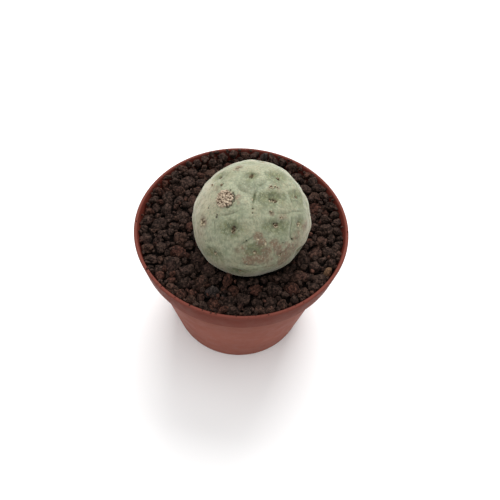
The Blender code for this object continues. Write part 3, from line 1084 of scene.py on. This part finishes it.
class CactusGritSizes(bpy.types.PropertyGroup):
    """Sizes of the lava grains."""

    level: FloatProperty(
        name="Level", description="Depth of the grain tops below the rim", default=0.8 * MM, unit="LENGTH"
    )
    largest: FloatProperty(
        name="Largest", description="Radius of the largest grains", default=3.4 * MM, unit="LENGTH"
    )
    smallest: FloatProperty(
        name="Smallest", description="Radius of the small grains", default=0.72 * MM, unit="LENGTH"
    )
    seed: IntProperty(name="Seed", description="Seed of the packing", default=3)


# ---------------------------------------------------------------- pot

def pot_profile(sizes):
    """Closed outline of the pot: foot, body, collar and lip outside, then down the inside."""
    foot_radius = 24.9 * MM
    foot_edge = 0.5 * MM
    ring_inside = 22.0 * MM
    body_top = 32.1 * MM
    collar_radius = 33.9 * MM
    collar_foot = RIM_HEIGHT - sizes.collar
    bead = sizes.lip / 2
    fillet = 0.35 * MM
    edge = 0.4 * MM
    hole_radius = 1.8 * MM
    floor_top = 2.2 * MM
    floor_bottom = 1.2 * MM
    corner = 1.5 * MM
    corner_top = floor_top + corner

    def body(height):
        return foot_radius + (body_top - foot_radius) * height / collar_foot

    points = [(foot_radius - foot_edge, 0.0)]
    points += arc_points((foot_radius - 0.9 * foot_edge, foot_edge), foot_edge, -80, 0, 4)
    points += [(body(h * MM), h * MM) for h in (1.5, 4, 8, 14, 20, 26, 32, 37)]
    points += [(body(collar_foot - edge), collar_foot - edge)]
    points += arc_points((body(collar_foot) + fillet, collar_foot - fillet), fillet, 180, 90, 3)
    points += arc_points((collar_radius - edge, collar_foot + edge), edge, -90, 0, 4)
    slope = (RIM_RADIUS - collar_radius) / (sizes.collar - edge - bead)
    for share in (0.25, 0.5, 0.75, 0.92):
        height = collar_foot + edge + share * (sizes.collar - edge - bead)
        points.append((collar_radius + slope * (height - collar_foot - edge), height))
    points += arc_points((RIM_RADIUS - bead, RIM_HEIGHT - bead), bead, 0, 180, 10)
    inner_foot = collar_radius - sizes.wall
    for share in (0.25, 0.6, 0.92):
        height = RIM_HEIGHT - bead - share * (sizes.collar - bead)
        points.append((RIM_RADIUS - sizes.lip - share * (RIM_RADIUS - sizes.lip - inner_foot), height))
    points += [
        (inner_foot - 0.6 * MM, collar_foot - 0.2 * MM),
        (body(collar_foot) - sizes.wall, collar_foot - sizes.wall),
        (body(corner_top) - sizes.wall, corner_top),
    ]
    points += arc_points((body(floor_top) - sizes.wall - corner, corner_top), corner, -15, -90, 4)
    points += [(hole_radius, floor_top), (hole_radius, floor_bottom)]
    points += [(ring_inside - 0.6 * MM, floor_bottom), (ring_inside, 0.0)]
    return points


def arc_points(centre, radius, start, end, steps):
    """Points along an arc, with angles in degrees from the outward direction."""
    points = []
    for step in range(steps + 1):
        turn = math.radians(start + (end - start) * step / steps)
        points.append((centre[0] + radius * math.cos(turn), centre[1] + radius * math.sin(turn)))
    return points


class CACTUS_OT_pot(bpy.types.Operator):
    """Build the moulded nursery pot with its drain holes"""

    bl_idname = "cactus.build_pot"
    bl_label = "Nursery Pot"

    DRAINS = 8
    DRAIN_CIRCLE = 15 * MM
    DRAIN_RADIUS = 1.8 * MM
    DRAIN_SIDES = 24
    FLOOR_MIDDLE = 1.7 * MM
    CUTTER_DEPTH = 3 * MM
    SHARP_ANGLE = math.radians(50)

    def execute(self, context):
        sizes = context.scene.cactus_pot
        bm = turned(pot_profile(sizes), sizes.sides)
        inside = [float(self.faces_grit(vert)) for vert in bm.verts]
        pot = finish_piece(
            "nursery_pot",
            bm,
            plastic_material(sizes),
            replaced=["pot"],
            attributes={"inside": inside},
        )
        pot.data.set_sharp_from_angle(angle=self.SHARP_ANGLE)
        self.drill_drains(pot)
        return {"FINISHED"}

    def faces_grit(self, vert):
        """Whether a point of the wall lies on its inner side."""
        inner_side = vert.normal.xy.dot(vert.co.xy) < 0
        return inner_side and 1.5 * MM < vert.co.z < RIM_HEIGHT - 0.4 * MM

    def drill_drains(self, pot):
        """Cut the ring of drain holes through the floor."""
        bm = bmesh.new()
        for number in range(self.DRAINS):
            turn = math.tau * number / self.DRAINS
            x, y = self.DRAIN_CIRCLE * math.cos(turn), self.DRAIN_CIRCLE * math.sin(turn)
            bmesh.ops.create_cone(
                bm,
                cap_ends=True,
                segments=self.DRAIN_SIDES,
                radius1=self.DRAIN_RADIUS,
                radius2=self.DRAIN_RADIUS,
                depth=self.CUTTER_DEPTH,
                matrix=Matrix.Translation((x, y, self.FLOOR_MIDDLE)),
            )
        cutter = put_in_scene("drain_cutter", mesh_of("drain_cutter", bm))
        boolean = pot.modifiers.new("drains", "BOOLEAN")
        boolean.operation = "DIFFERENCE"
        boolean.object = cutter
        bpy.context.view_layer.objects.active = pot
        bpy.ops.object.modifier_apply(modifier=boolean.name)
        bpy.data.objects.remove(cutter)


# ---------------------------------------------------------------- stem

class CACTUS_OT_stem(bpy.types.Operator):
    """Build the round stem with its pits, grooves and taproot"""

    bl_idname = "cactus.build_stem"
    bl_label = "Stem"

    def execute(self, context):
        sizes = context.scene.cactus_stem
        skin = StemSkin(sizes)
        bm = fine_ball(skin, sizes.detail)
        aims = np.array([v.co for v in bm.verts])
        height, finish = skin.measure(aims)
        for vert, aim, lift in zip(bm.verts, aims, height):
            vert.co = Vector(aim) * (STEM_RADIUS + lift)
        stretch_root(bm)
        bmesh.ops.translate(bm, verts=bm.verts, vec=STEM_CENTRE)
        finish_piece(
            "cactus_ball",
            bm,
            skin_material(sizes),
            replaced=["cactus_stem"],
            attributes=finish,
        )
        return {"FINISHED"}


def fine_ball(skin, detail):
    """Unit ball, finer above the grit and finer again along the grooves and round the holes."""
    bm = bmesh.new()
    bmesh.ops.create_icosphere(bm, subdivisions=detail, radius=1.0)
    split_edges(bm, lambda aims: aims[:, 2] > HIDDEN_BELOW)
    for least in (0.12, 0.5):
        split_edges(bm, lambda aims: (skin.busy(aims) > least) & (aims[:, 2] > HIDDEN_BELOW))
    return bm


def split_edges(bm, chosen):
    """Halve the edges of a unit ball between chosen places, and bring the new points onto the ball."""
    verts = list(bm.verts)
    flags = chosen(np.array([vert.co for vert in verts]))
    picked = {vert for vert, flag in zip(verts, flags) if flag}
    edges = [edge for edge in bm.edges if edge.verts[0] in picked and edge.verts[1] in picked]
    bmesh.ops.subdivide_edges(bm, edges=edges, cuts=1)
    bmesh.ops.triangulate(bm, faces=[face for face in bm.faces if len(face.verts) > 3])
    for vert in bm.verts:
        vert.co.normalize()


def stretch_root(bm):
    """Draw the underside of the ball down into the taproot, within an angle of its lowest point."""
    depth = STEM_CENTRE.z - STEM_LOW.z
    start = STEM_RADIUS * math.cos(ROOT_ANGLE)
    for vert in bm.verts:
        angle = math.pi - vert.co.angle(Vector((0, 0, 1)))
        if angle >= ROOT_ANGLE:
            continue
        share = min(1.0, 1 - angle / ROOT_ANGLE)
        thin = max(ROOT_TIP, (1 - share) ** 1.1)
        side = STEM_RADIUS * math.sin(ROOT_ANGLE) * thin * (1 - ROOT_WAIST * math.sqrt(share))
        level = Vector((vert.co.x, vert.co.y, 0))
        level = level.normalized() * side if level.length > 0 else level
        vert.co = Vector((level.x, level.y, -start - (depth - start) * share**1.6))


# Corky crumbs of a tuft: the least number, the number for each square mm, and their radii in mm
LEAST_CRUMBS = 6
CRUMBS_BY_AREA = 24
WOOL_RADII = (0.12, 0.30)
# Glochids of a tuft: their number, their lengths in mm, and their radius at the foot and the tip
BRISTLES = 6
BRISTLE_LENGTHS = (0.35, 0.75)
BRISTLE_FOOT = 0.035 * MM
BRISTLE_TIP = 0.008 * MM


class CACTUS_OT_areoles(bpy.types.Operator):
    """Build the wool and the short glochids of every areole"""

    bl_idname = "cactus.build_areoles"
    bl_label = "Areoles"

    def execute(self, context):
        rng = random.Random(WOOL_SEED)
        skin = StemSkin(context.scene.cactus_stem)
        wool, bristles = bmesh.new(), bmesh.new()
        tones = []
        for areole in skin.areoles.values():
            if areole.tuft[0] > 0 and areole.aim.z > -0.5:
                grow_wool(wool, areole, skin, rng, tones)
                grow_bristles(bristles, areole, skin, rng)
        for azimuth, elevation, side, up, pale in FLECKS:
            grow_wool(wool, Areole(azimuth, elevation, tuft=(side, up), wool=pale), skin, rng, tones)
        look = cork_material("areole_wool", *WOOL_COLOURS)
        finish_piece("areole_wool_tufts", wool, look, attributes={"tone": tones})
        look = cork_material("glochid_bristles", *GLOCHID_COLOURS)
        finish_piece("glochids", bristles, look)
        return {"FINISHED"}


def skin_points(skin, aims):
    """Points of the skin in several directions."""
    heights, _ = skin.measure(np.array(aims))
    return [STEM_CENTRE + aim * (STEM_RADIUS + lift) for aim, lift in zip(aims, heights)]


def grow_wool(wool, areole, skin, rng, tones):
    """Cluster of corky crumbs on one areole, paler towards its lower side."""
    half_side, half_up = (size * MM for size in areole.tuft)
    spots = []
    for _ in range(LEAST_CRUMBS + int(CRUMBS_BY_AREA * areole.tuft[0] * areole.tuft[1])):
        out, turn = math.sqrt(rng.uniform(0, 1)), rng.uniform(0, math.tau)
        y = out * math.sin(turn)
        aim = beside(areole.aim, out * math.cos(turn) * half_side, (y - 0.2) * half_up)
        if all((aim - hole).length * STEM_RADIUS > 0.75 * radius for hole, radius in areole.holes):
            spots.append((y, aim))
    for (y, aim), place in zip(spots, skin_points(skin, [aim for _, aim in spots])):
        radius = rng.uniform(*WOOL_RADII) * MM
        centre = place + aim * 0.05 * MM
        count = add_lump(wool, centre, radius, rng, detail=2, stretch=(1, 0.7, 0.5), rough=0.6)
        pale = rng.random() < areole.wool * (0.8 - 0.7 * y)
        tones.extend([rng.uniform(0.6, 1.0) if pale else rng.uniform(0.0, 0.35)] * count)


def grow_bristles(bristles, areole, skin, rng):
    """A few short glochids that lean out of one areole."""
    side, up = tangents(areole.aim)
    aims = [beside(areole.aim, rng.uniform(-0.6, 0.6) * areole.tuft[0] * MM, 0) for _ in range(BRISTLES)]
    for root in skin_points(skin, aims):
        lean = areole.aim + side * rng.uniform(-0.8, 0.8) + up * rng.uniform(-0.8, 0.8)
        add_bristle(bristles, root, lean.normalized(), rng.uniform(*BRISTLE_LENGTHS) * MM)


def add_bristle(bm, root, aim, length):
    """Thin tapering bristle."""
    turn = aim.to_track_quat("Z", "Y").to_matrix().to_4x4()
    bmesh.ops.create_cone(
        bm,
        cap_ends=True,
        segments=5,
        radius1=BRISTLE_FOOT,
        radius2=BRISTLE_TIP,
        depth=length,
        matrix=Matrix.Translation(root + aim * length * 0.42) @ turn,
    )


class CACTUS_OT_scar(bpy.types.Operator):
    """Build the corky scar at the crown: a low dome of dry pale granules"""

    bl_idname = "cactus.build_scar"
    bl_label = "Corky Scar"

    REACH = 2.5 * MM
    STRETCH = 1.02
    DOME = 0.45 * MM
    HOLES = ((1.5, 1.0), (-0.7, 0.3), (0.5, -0.3), (-1.4, -0.8), (0.2, 1.3), (1.0, -1.4), (-0.3, -1.3))
    HOLE_RADIUS = 0.3 * MM
    TRIES = 1400
    # Smallest, largest and most usual radius of a granule, in mm, and how closely they lie
    RADII = (0.24, 0.50, 0.33)
    SPACING = 0.72

    def execute(self, context):
        skin = StemSkin(context.scene.cactus_stem)
        scar = NAMED_AREOLES["scar"]
        granules, tones = self.heap_granules(skin, scar)
        look = cork_material("scar_granules", *GRANULE_COLOURS)
        finish_piece("corky_scar_granules", granules, look, attributes={"tone": tones})
        look = cork_material("scar_bed", *SCAR_BED_COLOURS)
        finish_piece("corky_scar_bed", self.lay_bed(skin, scar), look)
        return {"FINISHED"}

    def outline(self, turn):
        """Ragged radius of the scar in one direction."""
        return self.REACH * (1 + 0.10 * noise.noise(Vector((2 * math.cos(turn), 2 * math.sin(turn), 5))))

    def heap_granules(self, skin, scar):
        """Granules heaped over the dome, with a few dark holes left between them."""
        rng = random.Random(SCAR_SEED)
        holes = [(x * MM, y * MM, self.HOLE_RADIUS) for x, y in self.HOLES]
        placed = []
        for _ in range(self.TRIES):
            turn = rng.uniform(0, math.tau)
            out = self.outline(turn) * math.sqrt(rng.uniform(0, 1))
            x, y = out * math.cos(turn), self.STRETCH * out * math.sin(turn)
            radius = rng.triangular(*self.RADII) * MM
            if any(math.hypot(x - a, y - b) <= r + 0.3 * radius for a, b, r in holes):
                continue
            if all(math.hypot(x - a, y - b) > self.SPACING * (radius + r) for a, b, r, _ in placed):
                placed.append((x, y, radius, out))
        aims = [beside(scar.aim, x, y) for x, y, _, _ in placed]
        granules, tones = bmesh.new(), []
        for (_, _, radius, out), aim, place in zip(placed, aims, skin_points(skin, aims)):
            dome = self.DOME * math.sqrt(max(0.0, 1 - (out / self.REACH) ** 2))
            centre = place + aim * (dome + rng.uniform(-0.10, 0.16) * MM)
            count = add_lump(granules, centre, radius, rng, detail=3, stretch=(1.05, 0.92, 0.8), rough=0.7)
            tones.extend([rng.uniform(0.35, 1.0)] * count)
        return granules, tones

    def lay_bed(self, skin, scar):
        """Brown dome under the granules, which shows between them."""
        bed = bmesh.new()
        bmesh.ops.create_uvsphere(bed, u_segments=64, v_segments=24, radius=1.0)
        rounds = [vert.co.copy() for vert in bed.verts]
        aims = []
        for co in rounds:
            turn = math.atan2(co.y, co.x)
            reach = self.outline(turn) * 1.02
            aims.append(beside(scar.aim, co.x * reach, co.y * reach * self.STRETCH))
        for vert, co, aim, place in zip(bed.verts, rounds, aims, skin_points(skin, aims)):
            vert.co = place + aim * co.z * (self.DOME if co.z > 0 else 0.3 * MM)
        return bed


# ---------------------------------------------------------------- grit

def wall_radius(height):
    """Inner radius of the pot's collar at a height."""
    collar_foot = RIM_HEIGHT - COLLAR_HEIGHT
    share = (height - collar_foot) / (RIM_HEIGHT - collar_foot)
    return INSIDE_RADIUS + INSIDE_FLARE * share


class Heap:
    """Grains packed between the stem and the pot's wall, the coarse ones first and near the top."""

    SNUG = 0.86
    STEM_SNUG = 0.95
    PLACES = 160
    # How far a grain's middle lies below the top, as a share of its radius: in the heap, at the wall
    SUNK = 0.85
    WALL_SUNK = 0.9
    # Steps along the wall: past a grain as a share of its radius, and to the next try
    WALL_SPACING = 1.5
    WALL_STEP = 0.3 * MM
    FRONT_RISE = 0.6 * MM
    BACK_RISE = 2.0 * MM
    SIDE_FALL = 0.5 * MM
    UNEVEN = 0.5 * MM

    def __init__(self, sizes):
        self.level = RIM_HEIGHT - sizes.level
        self.rng = np.random.default_rng(sizes.seed)
        self.centres = np.zeros((0, 3))
        self.radii = np.zeros(0)

    def add(self, centre, radius):
        """Keep a grain."""
        self.centres = np.vstack([self.centres, np.array(centre)[None]])
        self.radii = np.append(self.radii, radius)

    def top(self, x, y):
        """Height that the grains reach: highest at the back, then the front, and lowest at the sides."""
        front = np.maximum(0, -y / RIM_RADIUS) ** 2
        back = np.maximum(0, y / RIM_RADIUS)
        side = (x / RIM_RADIUS) ** 2
        uneven = [noise.noise(Vector(place) / (7 * MM)) for place in zip(x, y, x * 0)]
        slope = front * self.FRONT_RISE + back * self.BACK_RISE - side * self.SIDE_FALL
        return self.level + slope + self.UNEVEN * np.array(uneven)

    def settle(self, radius, sink):
        """Put a grain in the snuggest of many random places; returns its centre or None."""
        turn = self.rng.uniform(0, math.tau, self.PLACES)
        out = (RIM_RADIUS - radius) * np.sqrt(self.rng.uniform(0.05, 1, self.PLACES))
        x, y = out * np.cos(turn), out * np.sin(turn)
        z = self.top(x, y) - self.SUNK * radius - sink * self.rng.uniform(0, 1, self.PLACES)
        places = np.stack([x, y, z], axis=1)
        gaps = np.linalg.norm(places[:, None] - self.centres[None], axis=2)
        gap = (gaps - self.SNUG * (self.radii + radius)).min(axis=1)
        stem_gap = np.linalg.norm(places - np.array(STEM_CENTRE), axis=1) - STEM_RADIUS
        stem_gap -= self.STEM_SNUG * radius
        wall_gap = wall_radius(z) - out - radius
        blocked = (gap < 0) | (stem_gap < 0) | (wall_gap < 0)
        best = int(np.argmin(np.where(blocked, np.inf, gap)))
        if blocked[best]:
            return None
        self.add(places[best], radius)
        return places[best]

    def line_wall(self, largest, smallest, drop=0.0):
        """Lay one row of grains against the wall, drop below the top, where there is room; returns them."""
        landed = []
        turn = 0.0
        while turn < math.tau:
            radius = self.rng.uniform(smallest, largest)
            out = wall_radius(self.level) - radius
            x, y = out * math.cos(turn), out * math.sin(turn)
            z = float(self.top(np.array([x]), np.array([y]))[0]) - self.WALL_SUNK * radius - drop
            gaps = np.linalg.norm(self.centres - (x, y, z), axis=1) - self.SNUG * (self.radii + radius)
            if gaps.min() > 0:
                self.add((x, y, z), radius)
                landed.append((np.array((x, y, z)), radius))
                turn += self.WALL_SPACING * radius / out
            turn += self.WALL_STEP / out
        return landed

    def fill(self, count, largest, smallest, sink):
        """Try grains from the largest radius down, sunk by up to sink; returns those that found a place."""
        landed = []
        for number in range(count):
            radius = largest + (smallest - largest) * number / count
            centre = self.settle(radius, sink)
            if centre is not None:
                landed.append((centre, radius))
        return landed


class BrokenFaces:
    """The random flat faces that a broken grain shows, as a share of its radius by direction."""

    COUNT = 12
    NEAREST = 0.66
    SHARPNESS = 9
    ROUNDNESS = 0.93
    SCALE = 0.95

    def __init__(self, rng):
        aims = [random_axis(rng) for _ in range(self.COUNT)]
        self.planes = np.array([aim / rng.uniform(self.NEAREST, 1.0) for aim in aims])

    def shares(self, aims):
        """Share of the full radius in each direction, with rounded edges between the faces."""
        lean = np.maximum(aims @ self.planes.T, 0)
        total = (lean**self.SHARPNESS).sum(axis=1) + self.ROUNDNESS**self.SHARPNESS
        return total ** (-1 / self.SHARPNESS) * self.SCALE


def rough_values(aims, offset, radius):
    """Lumps and pits of a broken grain's skin, in metres, and how far each point stands out."""
    lumps = noise_at(aims, 1.5, offset)
    knobs = noise_at(aims, 3.6, offset)
    pits = 0.3 - np.abs(noise_at(aims, 6.5, offset))
    return radius * (0.18 * lumps + 0.10 * knobs - 0.13 * pits), 0.9 * lumps + 1.4 * knobs - 1.5 * pits


def lava_lump(bm, centre, radius, rng, detail):
    """Add one broken lava grain; returns how far each of its points stands out."""
    stretch = np.array((rng.uniform(1.0, 1.34), rng.uniform(0.84, 1.0), rng.uniform(0.72, 0.9)))
    turn = random_turn(rng)
    offset = random_offset(rng)
    faces = BrokenFaces(rng)
    rises = []

    def shape(aims):
        moves, rise = rough_values(aims, offset, radius)
        rises.extend(rise)
        reach = faces.shares(aims) * radius + moves
        return (aims * stretch * reach[:, None]) @ turn.T + np.array(centre)

    add_ball(bm, detail, shape)
    return rises


class CACTUS_OT_loose_grains(bpy.types.Operator):
    """Give each loose grain of the part its broken, pitted surface"""

    bl_idname = "cactus.build_loose_grains"
    bl_label = "Loose Grains"

    def execute(self, context):
        rng = random.Random(LOOSE_SEED)
        for name in STONE_NODES:
            bm = bmesh.new()
            bm.from_mesh(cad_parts[name].data)
            bmesh.ops.remove_doubles(bm, verts=bm.verts, dist=0.002 * MM)
            bmesh.ops.subdivide_edges(bm, edges=bm.edges, cuts=3, use_grid_fill=True, smooth=0.6)
            bmesh.ops.triangulate(bm, faces=bm.faces)
            rise = break_copy(bm, rng)
            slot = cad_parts[name].material_slots[0].name
            shade_name = next(s for s in ("dark", "red", "brown") if s in slot)
            finish_piece(
                name.replace("grain", "stone"),
                bm,
                stone_look(shade_name),
                replaced=[name],
                attributes={"tone": [rng.uniform(0, 1)] * len(rise), "rise": rise},
            )
        return {"FINISHED"}


def break_copy(bm, rng):
    """Cut broken faces and pits into a smooth copy of a grain, inside its old skin."""
    bm.verts.ensure_lookup_table()
    places = np.array([vert.co for vert in bm.verts])
    centre = (places.min(axis=0) + places.max(axis=0)) / 2
    offsets = places - centre
    lengths = np.linalg.norm(offsets, axis=1)
    aims = offsets / lengths[:, None]
    moves, rise = rough_values(aims, random_offset(rng), lengths.mean())
    reach = lengths * np.minimum(1.0, BrokenFaces(rng).shares(aims)) * 1.02 + 0.6 * moves
    for vert, point in zip(bm.verts, centre + aims * reach[:, None]):
        vert.co = point
    return rise


class CACTUS_OT_packed_grains(bpy.types.Operator):
    """Pack lava grains between the loose ones, up to just below the rim"""

    bl_idname = "cactus.build_packed_grains"
    bl_label = "Packed Grains"

    # Grains that are tried of each size, and how deep they may lie below the top
    COARSE_TRIES, COARSE_SINK = 260, 0.9 * MM
    MIDDLING_TRIES, MIDDLING_SINK = 360, 2.2 * MM
    FINE_TRIES, FINE_SINK = 420, 3.5 * MM
    SECOND_ROW_DROP = 1.3 * MM
    # Weights of the shades of each size, in the order of STONE_COLOURS
    COARSE_SHADES = (12, 3, 3, 0.25, 0.4)
    MIDDLING_SHADES = (12, 3, 3, 0.1, 0.2)
    FINE_SHADES = (12, 2, 2, 0, 0)

    def execute(self, context):
        sizes = context.scene.cactus_grit
        rng = random.Random(sizes.seed)
        heap = Heap(sizes)
        for name in STONE_NODES:
            low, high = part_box(name)
            heap.add((low + high) / 2, sum(high - low) / 6)
        middle, small = 0.6 * sizes.largest, sizes.smallest
        coarse = heap.line_wall(0.75 * sizes.largest, 0.85 * middle)
        coarse += heap.fill(self.COARSE_TRIES, sizes.largest, middle, self.COARSE_SINK)
        middling = heap.line_wall(middle, small)
        middling += heap.fill(self.MIDDLING_TRIES, middle, 1.3 * small, self.MIDDLING_SINK)
        fine = heap.line_wall(1.3 * small, 0.8 * small)
        fine += heap.line_wall(1.3 * small, 0.8 * small, self.SECOND_ROW_DROP)
        fine += heap.fill(self.FINE_TRIES, 1.3 * small, 0.7 * small, self.FINE_SINK)
        self.make_piece("packed_grains_coarse", coarse, 4, rng, self.COARSE_SHADES)
        self.make_piece("packed_grains_middling", middling, 3, rng, self.MIDDLING_SHADES)
        self.make_piece("packed_grains_fine", fine, 2, rng, self.FINE_SHADES)
        return {"FINISHED"}

    def make_piece(self, name, grains, detail, rng, weights):
        """Join grains into one piece for each shade, which is drawn for each grain by the weights."""
        shades = rng.choices(tuple(STONE_COLOURS), weights, k=len(grains))
        for shade_name in sorted(set(shades)):
            bm, tones, rises = bmesh.new(), [], []
            for (centre, radius), own_shade in zip(grains, shades):
                if own_shade == shade_name:
                    rise = lava_lump(bm, centre, radius, rng, detail)
                    rises.extend(rise)
                    tones.extend([rng.uniform(0, 1)] * len(rise))
            look = stone_look(shade_name)
            finish_piece(f"{name}_{shade_name}", bm, look, attributes={"tone": tones, "rise": rises})


class CACTUS_OT_crumbs(bpy.types.Operator):
    """Scatter a few crumbs of grit on the pot's lip, most of them at the front"""

    bl_idname = "cactus.build_crumbs"
    bl_label = "Crumbs"

    FRONT_CRUMBS = 20
    OTHER_CRUMBS = 6
    # Middle and spread of the front crumbs along the lip, in degrees
    FRONT_TURN = -105
    FRONT_SPREAD = 30
    # Smallest, largest and most usual radius, in mm
    RADII = (0.10, 0.42, 0.14)

    def execute(self, context):
        rng = random.Random(CRUMB_SEED)
        lip = context.scene.cactus_pot.lip
        bm, tones, rises = bmesh.new(), [], []
        for number in range(self.FRONT_CRUMBS + self.OTHER_CRUMBS):
            if number < self.FRONT_CRUMBS:
                turn = math.radians(rng.gauss(self.FRONT_TURN, self.FRONT_SPREAD))
            else:
                turn = rng.uniform(0, math.tau)
            radius = rng.triangular(*self.RADII) * MM
            out = RIM_RADIUS - lip / 2 + rng.uniform(-0.2, 0.12) * MM
            centre = (out * math.cos(turn), out * math.sin(turn), RIM_HEIGHT + 0.45 * radius)
            rise = lava_lump(bm, centre, radius, rng, 2)
            rises.extend(rise)
            tones.extend([rng.uniform(0, 1)] * len(rise))
        finish_piece("lip_crumbs", bm, stone_look("red"), attributes={"tone": tones, "rise": rises})
        return {"FINISHED"}


class CACTUS_OT_bed(bpy.types.Operator):
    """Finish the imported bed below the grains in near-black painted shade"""

    bl_idname = "cactus.finish_bed"
    bl_label = "Grit Bed"

    def execute(self, context):
        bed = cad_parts["grit_bed"]
        # Painted shade: the bed between the grains is coloured near-black.
        look = stone_material("packed_lava_grit", BED_SHADE_COLOURS)
        for slot in bed.material_slots:
            slot.material = look
        return {"FINISHED"}


# ---------------------------------------------------------------- stage

class CactusStageSizes(bpy.types.PropertyGroup):
    """Camera and lights."""

    elevation: FloatProperty(
        name="Elevation",
        description="Angle of the camera above the horizon",
        default=math.radians(55.0),
        subtype="ANGLE",
    )
    roll: FloatProperty(
        name="Roll", description="Roll of the camera", default=math.radians(4.2), subtype="ANGLE"
    )
    lens: FloatProperty(name="Lens", description="Focal length in millimetres", default=36.0)
    light_power: FloatProperty(name="Light", description="Power of the soft box in watts", default=4.0)
    sky: FloatProperty(name="Sky", description="Strength of the even light", default=0.62)


class CACTUS_OT_stage(bpy.types.Operator):
    """Lay the pale floor and set the lights and the camera"""

    bl_idname = "cactus.build_stage"
    bl_label = "Stage"

    FLOOR_SIZE = 3.0
    CAMERA_PLACE = Vector((3.23, -101.0, 179.0)) * MM
    SENSOR_WIDTH = 36.0
    CLIP_START = 10 * MM
    SOFT_BOXES = (
        # name, place, size and share of the power
        ("back_light", (0.05, 0.38, 0.52), 0.45, 1.0),
        ("top_light", (-0.05, -0.15, 0.69), 0.6, 0.48),
    )

    def execute(self, context):
        sizes = context.scene.cactus_stage
        self.lay_floor()
        self.light(context.scene, sizes)
        self.place_camera(context.scene, sizes)
        context.scene.view_settings.view_transform = "Standard"
        return {"FINISHED"}

    def lay_floor(self):
        """Wide pale floor."""
        bm = bmesh.new()
        bmesh.ops.create_grid(bm, x_segments=8, y_segments=8, size=self.FLOOR_SIZE)
        look = Surface("pale_floor", 0.8)
        look.colour = look.blend(look.noise(0.4), *FLOOR_COLOURS)
        floor = put_in_scene("floor", mesh_of("floor", bm))
        floor.data.materials.append(look.done())

    def light(self, scene, sizes):
        """Even sky, a large soft box above and behind, and a wider one above."""
        world = bpy.data.worlds.new("studio")
        world.use_nodes = True
        background = world.node_tree.nodes["Background"]
        background.inputs["Color"].default_value = (1, 1, 1, 1)
        background.inputs["Strength"].default_value = sizes.sky
        scene.world = world
        for name, place, size, share in self.SOFT_BOXES:
            self.soft_box(name, Vector(place), size, sizes.light_power * share)

    def soft_box(self, name, place, size, power):
        """Square area light aimed at the plant."""
        lamp = bpy.data.lights.new(name, "AREA")
        lamp.shape = "SQUARE"
        lamp.size = size
        lamp.energy = power
        box = put_in_scene(name, lamp)
        box.location = place
        aim = Vector((0, 0, RIM_HEIGHT)) - place
        box.rotation_euler = aim.to_track_quat("-Z", "Y").to_euler()

    def place_camera(self, scene, sizes):
        """Camera above the front, looking down across the rim."""
        data = bpy.data.cameras.new("camera")
        data.lens = sizes.lens
        data.sensor_width = self.SENSOR_WIDTH
        data.clip_start = self.CLIP_START
        camera = put_in_scene("camera", data)
        tilt = Matrix.Rotation(math.pi / 2 - sizes.elevation, 4, "X")
        turn = tilt @ Matrix.Rotation(sizes.roll, 4, "Z")
        camera.matrix_world = Matrix.Translation(self.CAMERA_PLACE) @ turn
        scene.camera = camera


class CACTUS_PT_panel(bpy.types.Panel):
    """Sidebar panel that lists the build steps"""

    bl_idname = "CACTUS_PT_panel"
    bl_label = "Potted Tephrocactus"
    bl_space_type = "VIEW_3D"
    bl_region_type = "UI"
    bl_category = "Cactus"

    def draw(self, context):
        for step in STEPS:
            self.layout.operator(step.bl_idname)


STEPS = (
    CACTUS_OT_pot,
    CACTUS_OT_stem,
    CACTUS_OT_areoles,
    CACTUS_OT_scar,
    CACTUS_OT_loose_grains,
    CACTUS_OT_packed_grains,
    CACTUS_OT_crumbs,
    CACTUS_OT_bed,
    CACTUS_OT_stage,
)
GROUPS = {
    "cactus_pot": CactusPotSizes,
    "cactus_stem": CactusStemSizes,
    "cactus_grit": CactusGritSizes,
    "cactus_stage": CactusStageSizes,
}


def register():
    """Register the property groups, the operators and the panel."""
    for name, group in GROUPS.items():
        bpy.utils.register_class(group)
        setattr(bpy.types.Scene, name, PointerProperty(type=group))
    for step in STEPS:
        bpy.utils.register_class(step)
    bpy.utils.register_class(CACTUS_PT_panel)


def unregister():
    """Undo register."""
    bpy.utils.unregister_class(CACTUS_PT_panel)
    for step in reversed(STEPS):
        bpy.utils.unregister_class(step)
    for name, group in GROUPS.items():
        delattr(bpy.types.Scene, name)
        bpy.utils.unregister_class(group)


def main():
    """Register the steps and build every piece in order."""
    register()
    bpy.ops.cactus.build_pot()
    bpy.ops.cactus.build_stem()
    bpy.ops.cactus.build_areoles()
    bpy.ops.cactus.build_scar()
    bpy.ops.cactus.build_loose_grains()
    bpy.ops.cactus.build_packed_grains()
    bpy.ops.cactus.build_crumbs()
    bpy.ops.cactus.finish_bed()
    bpy.ops.cactus.build_stage()


if __name__ == "__main__":
    main()
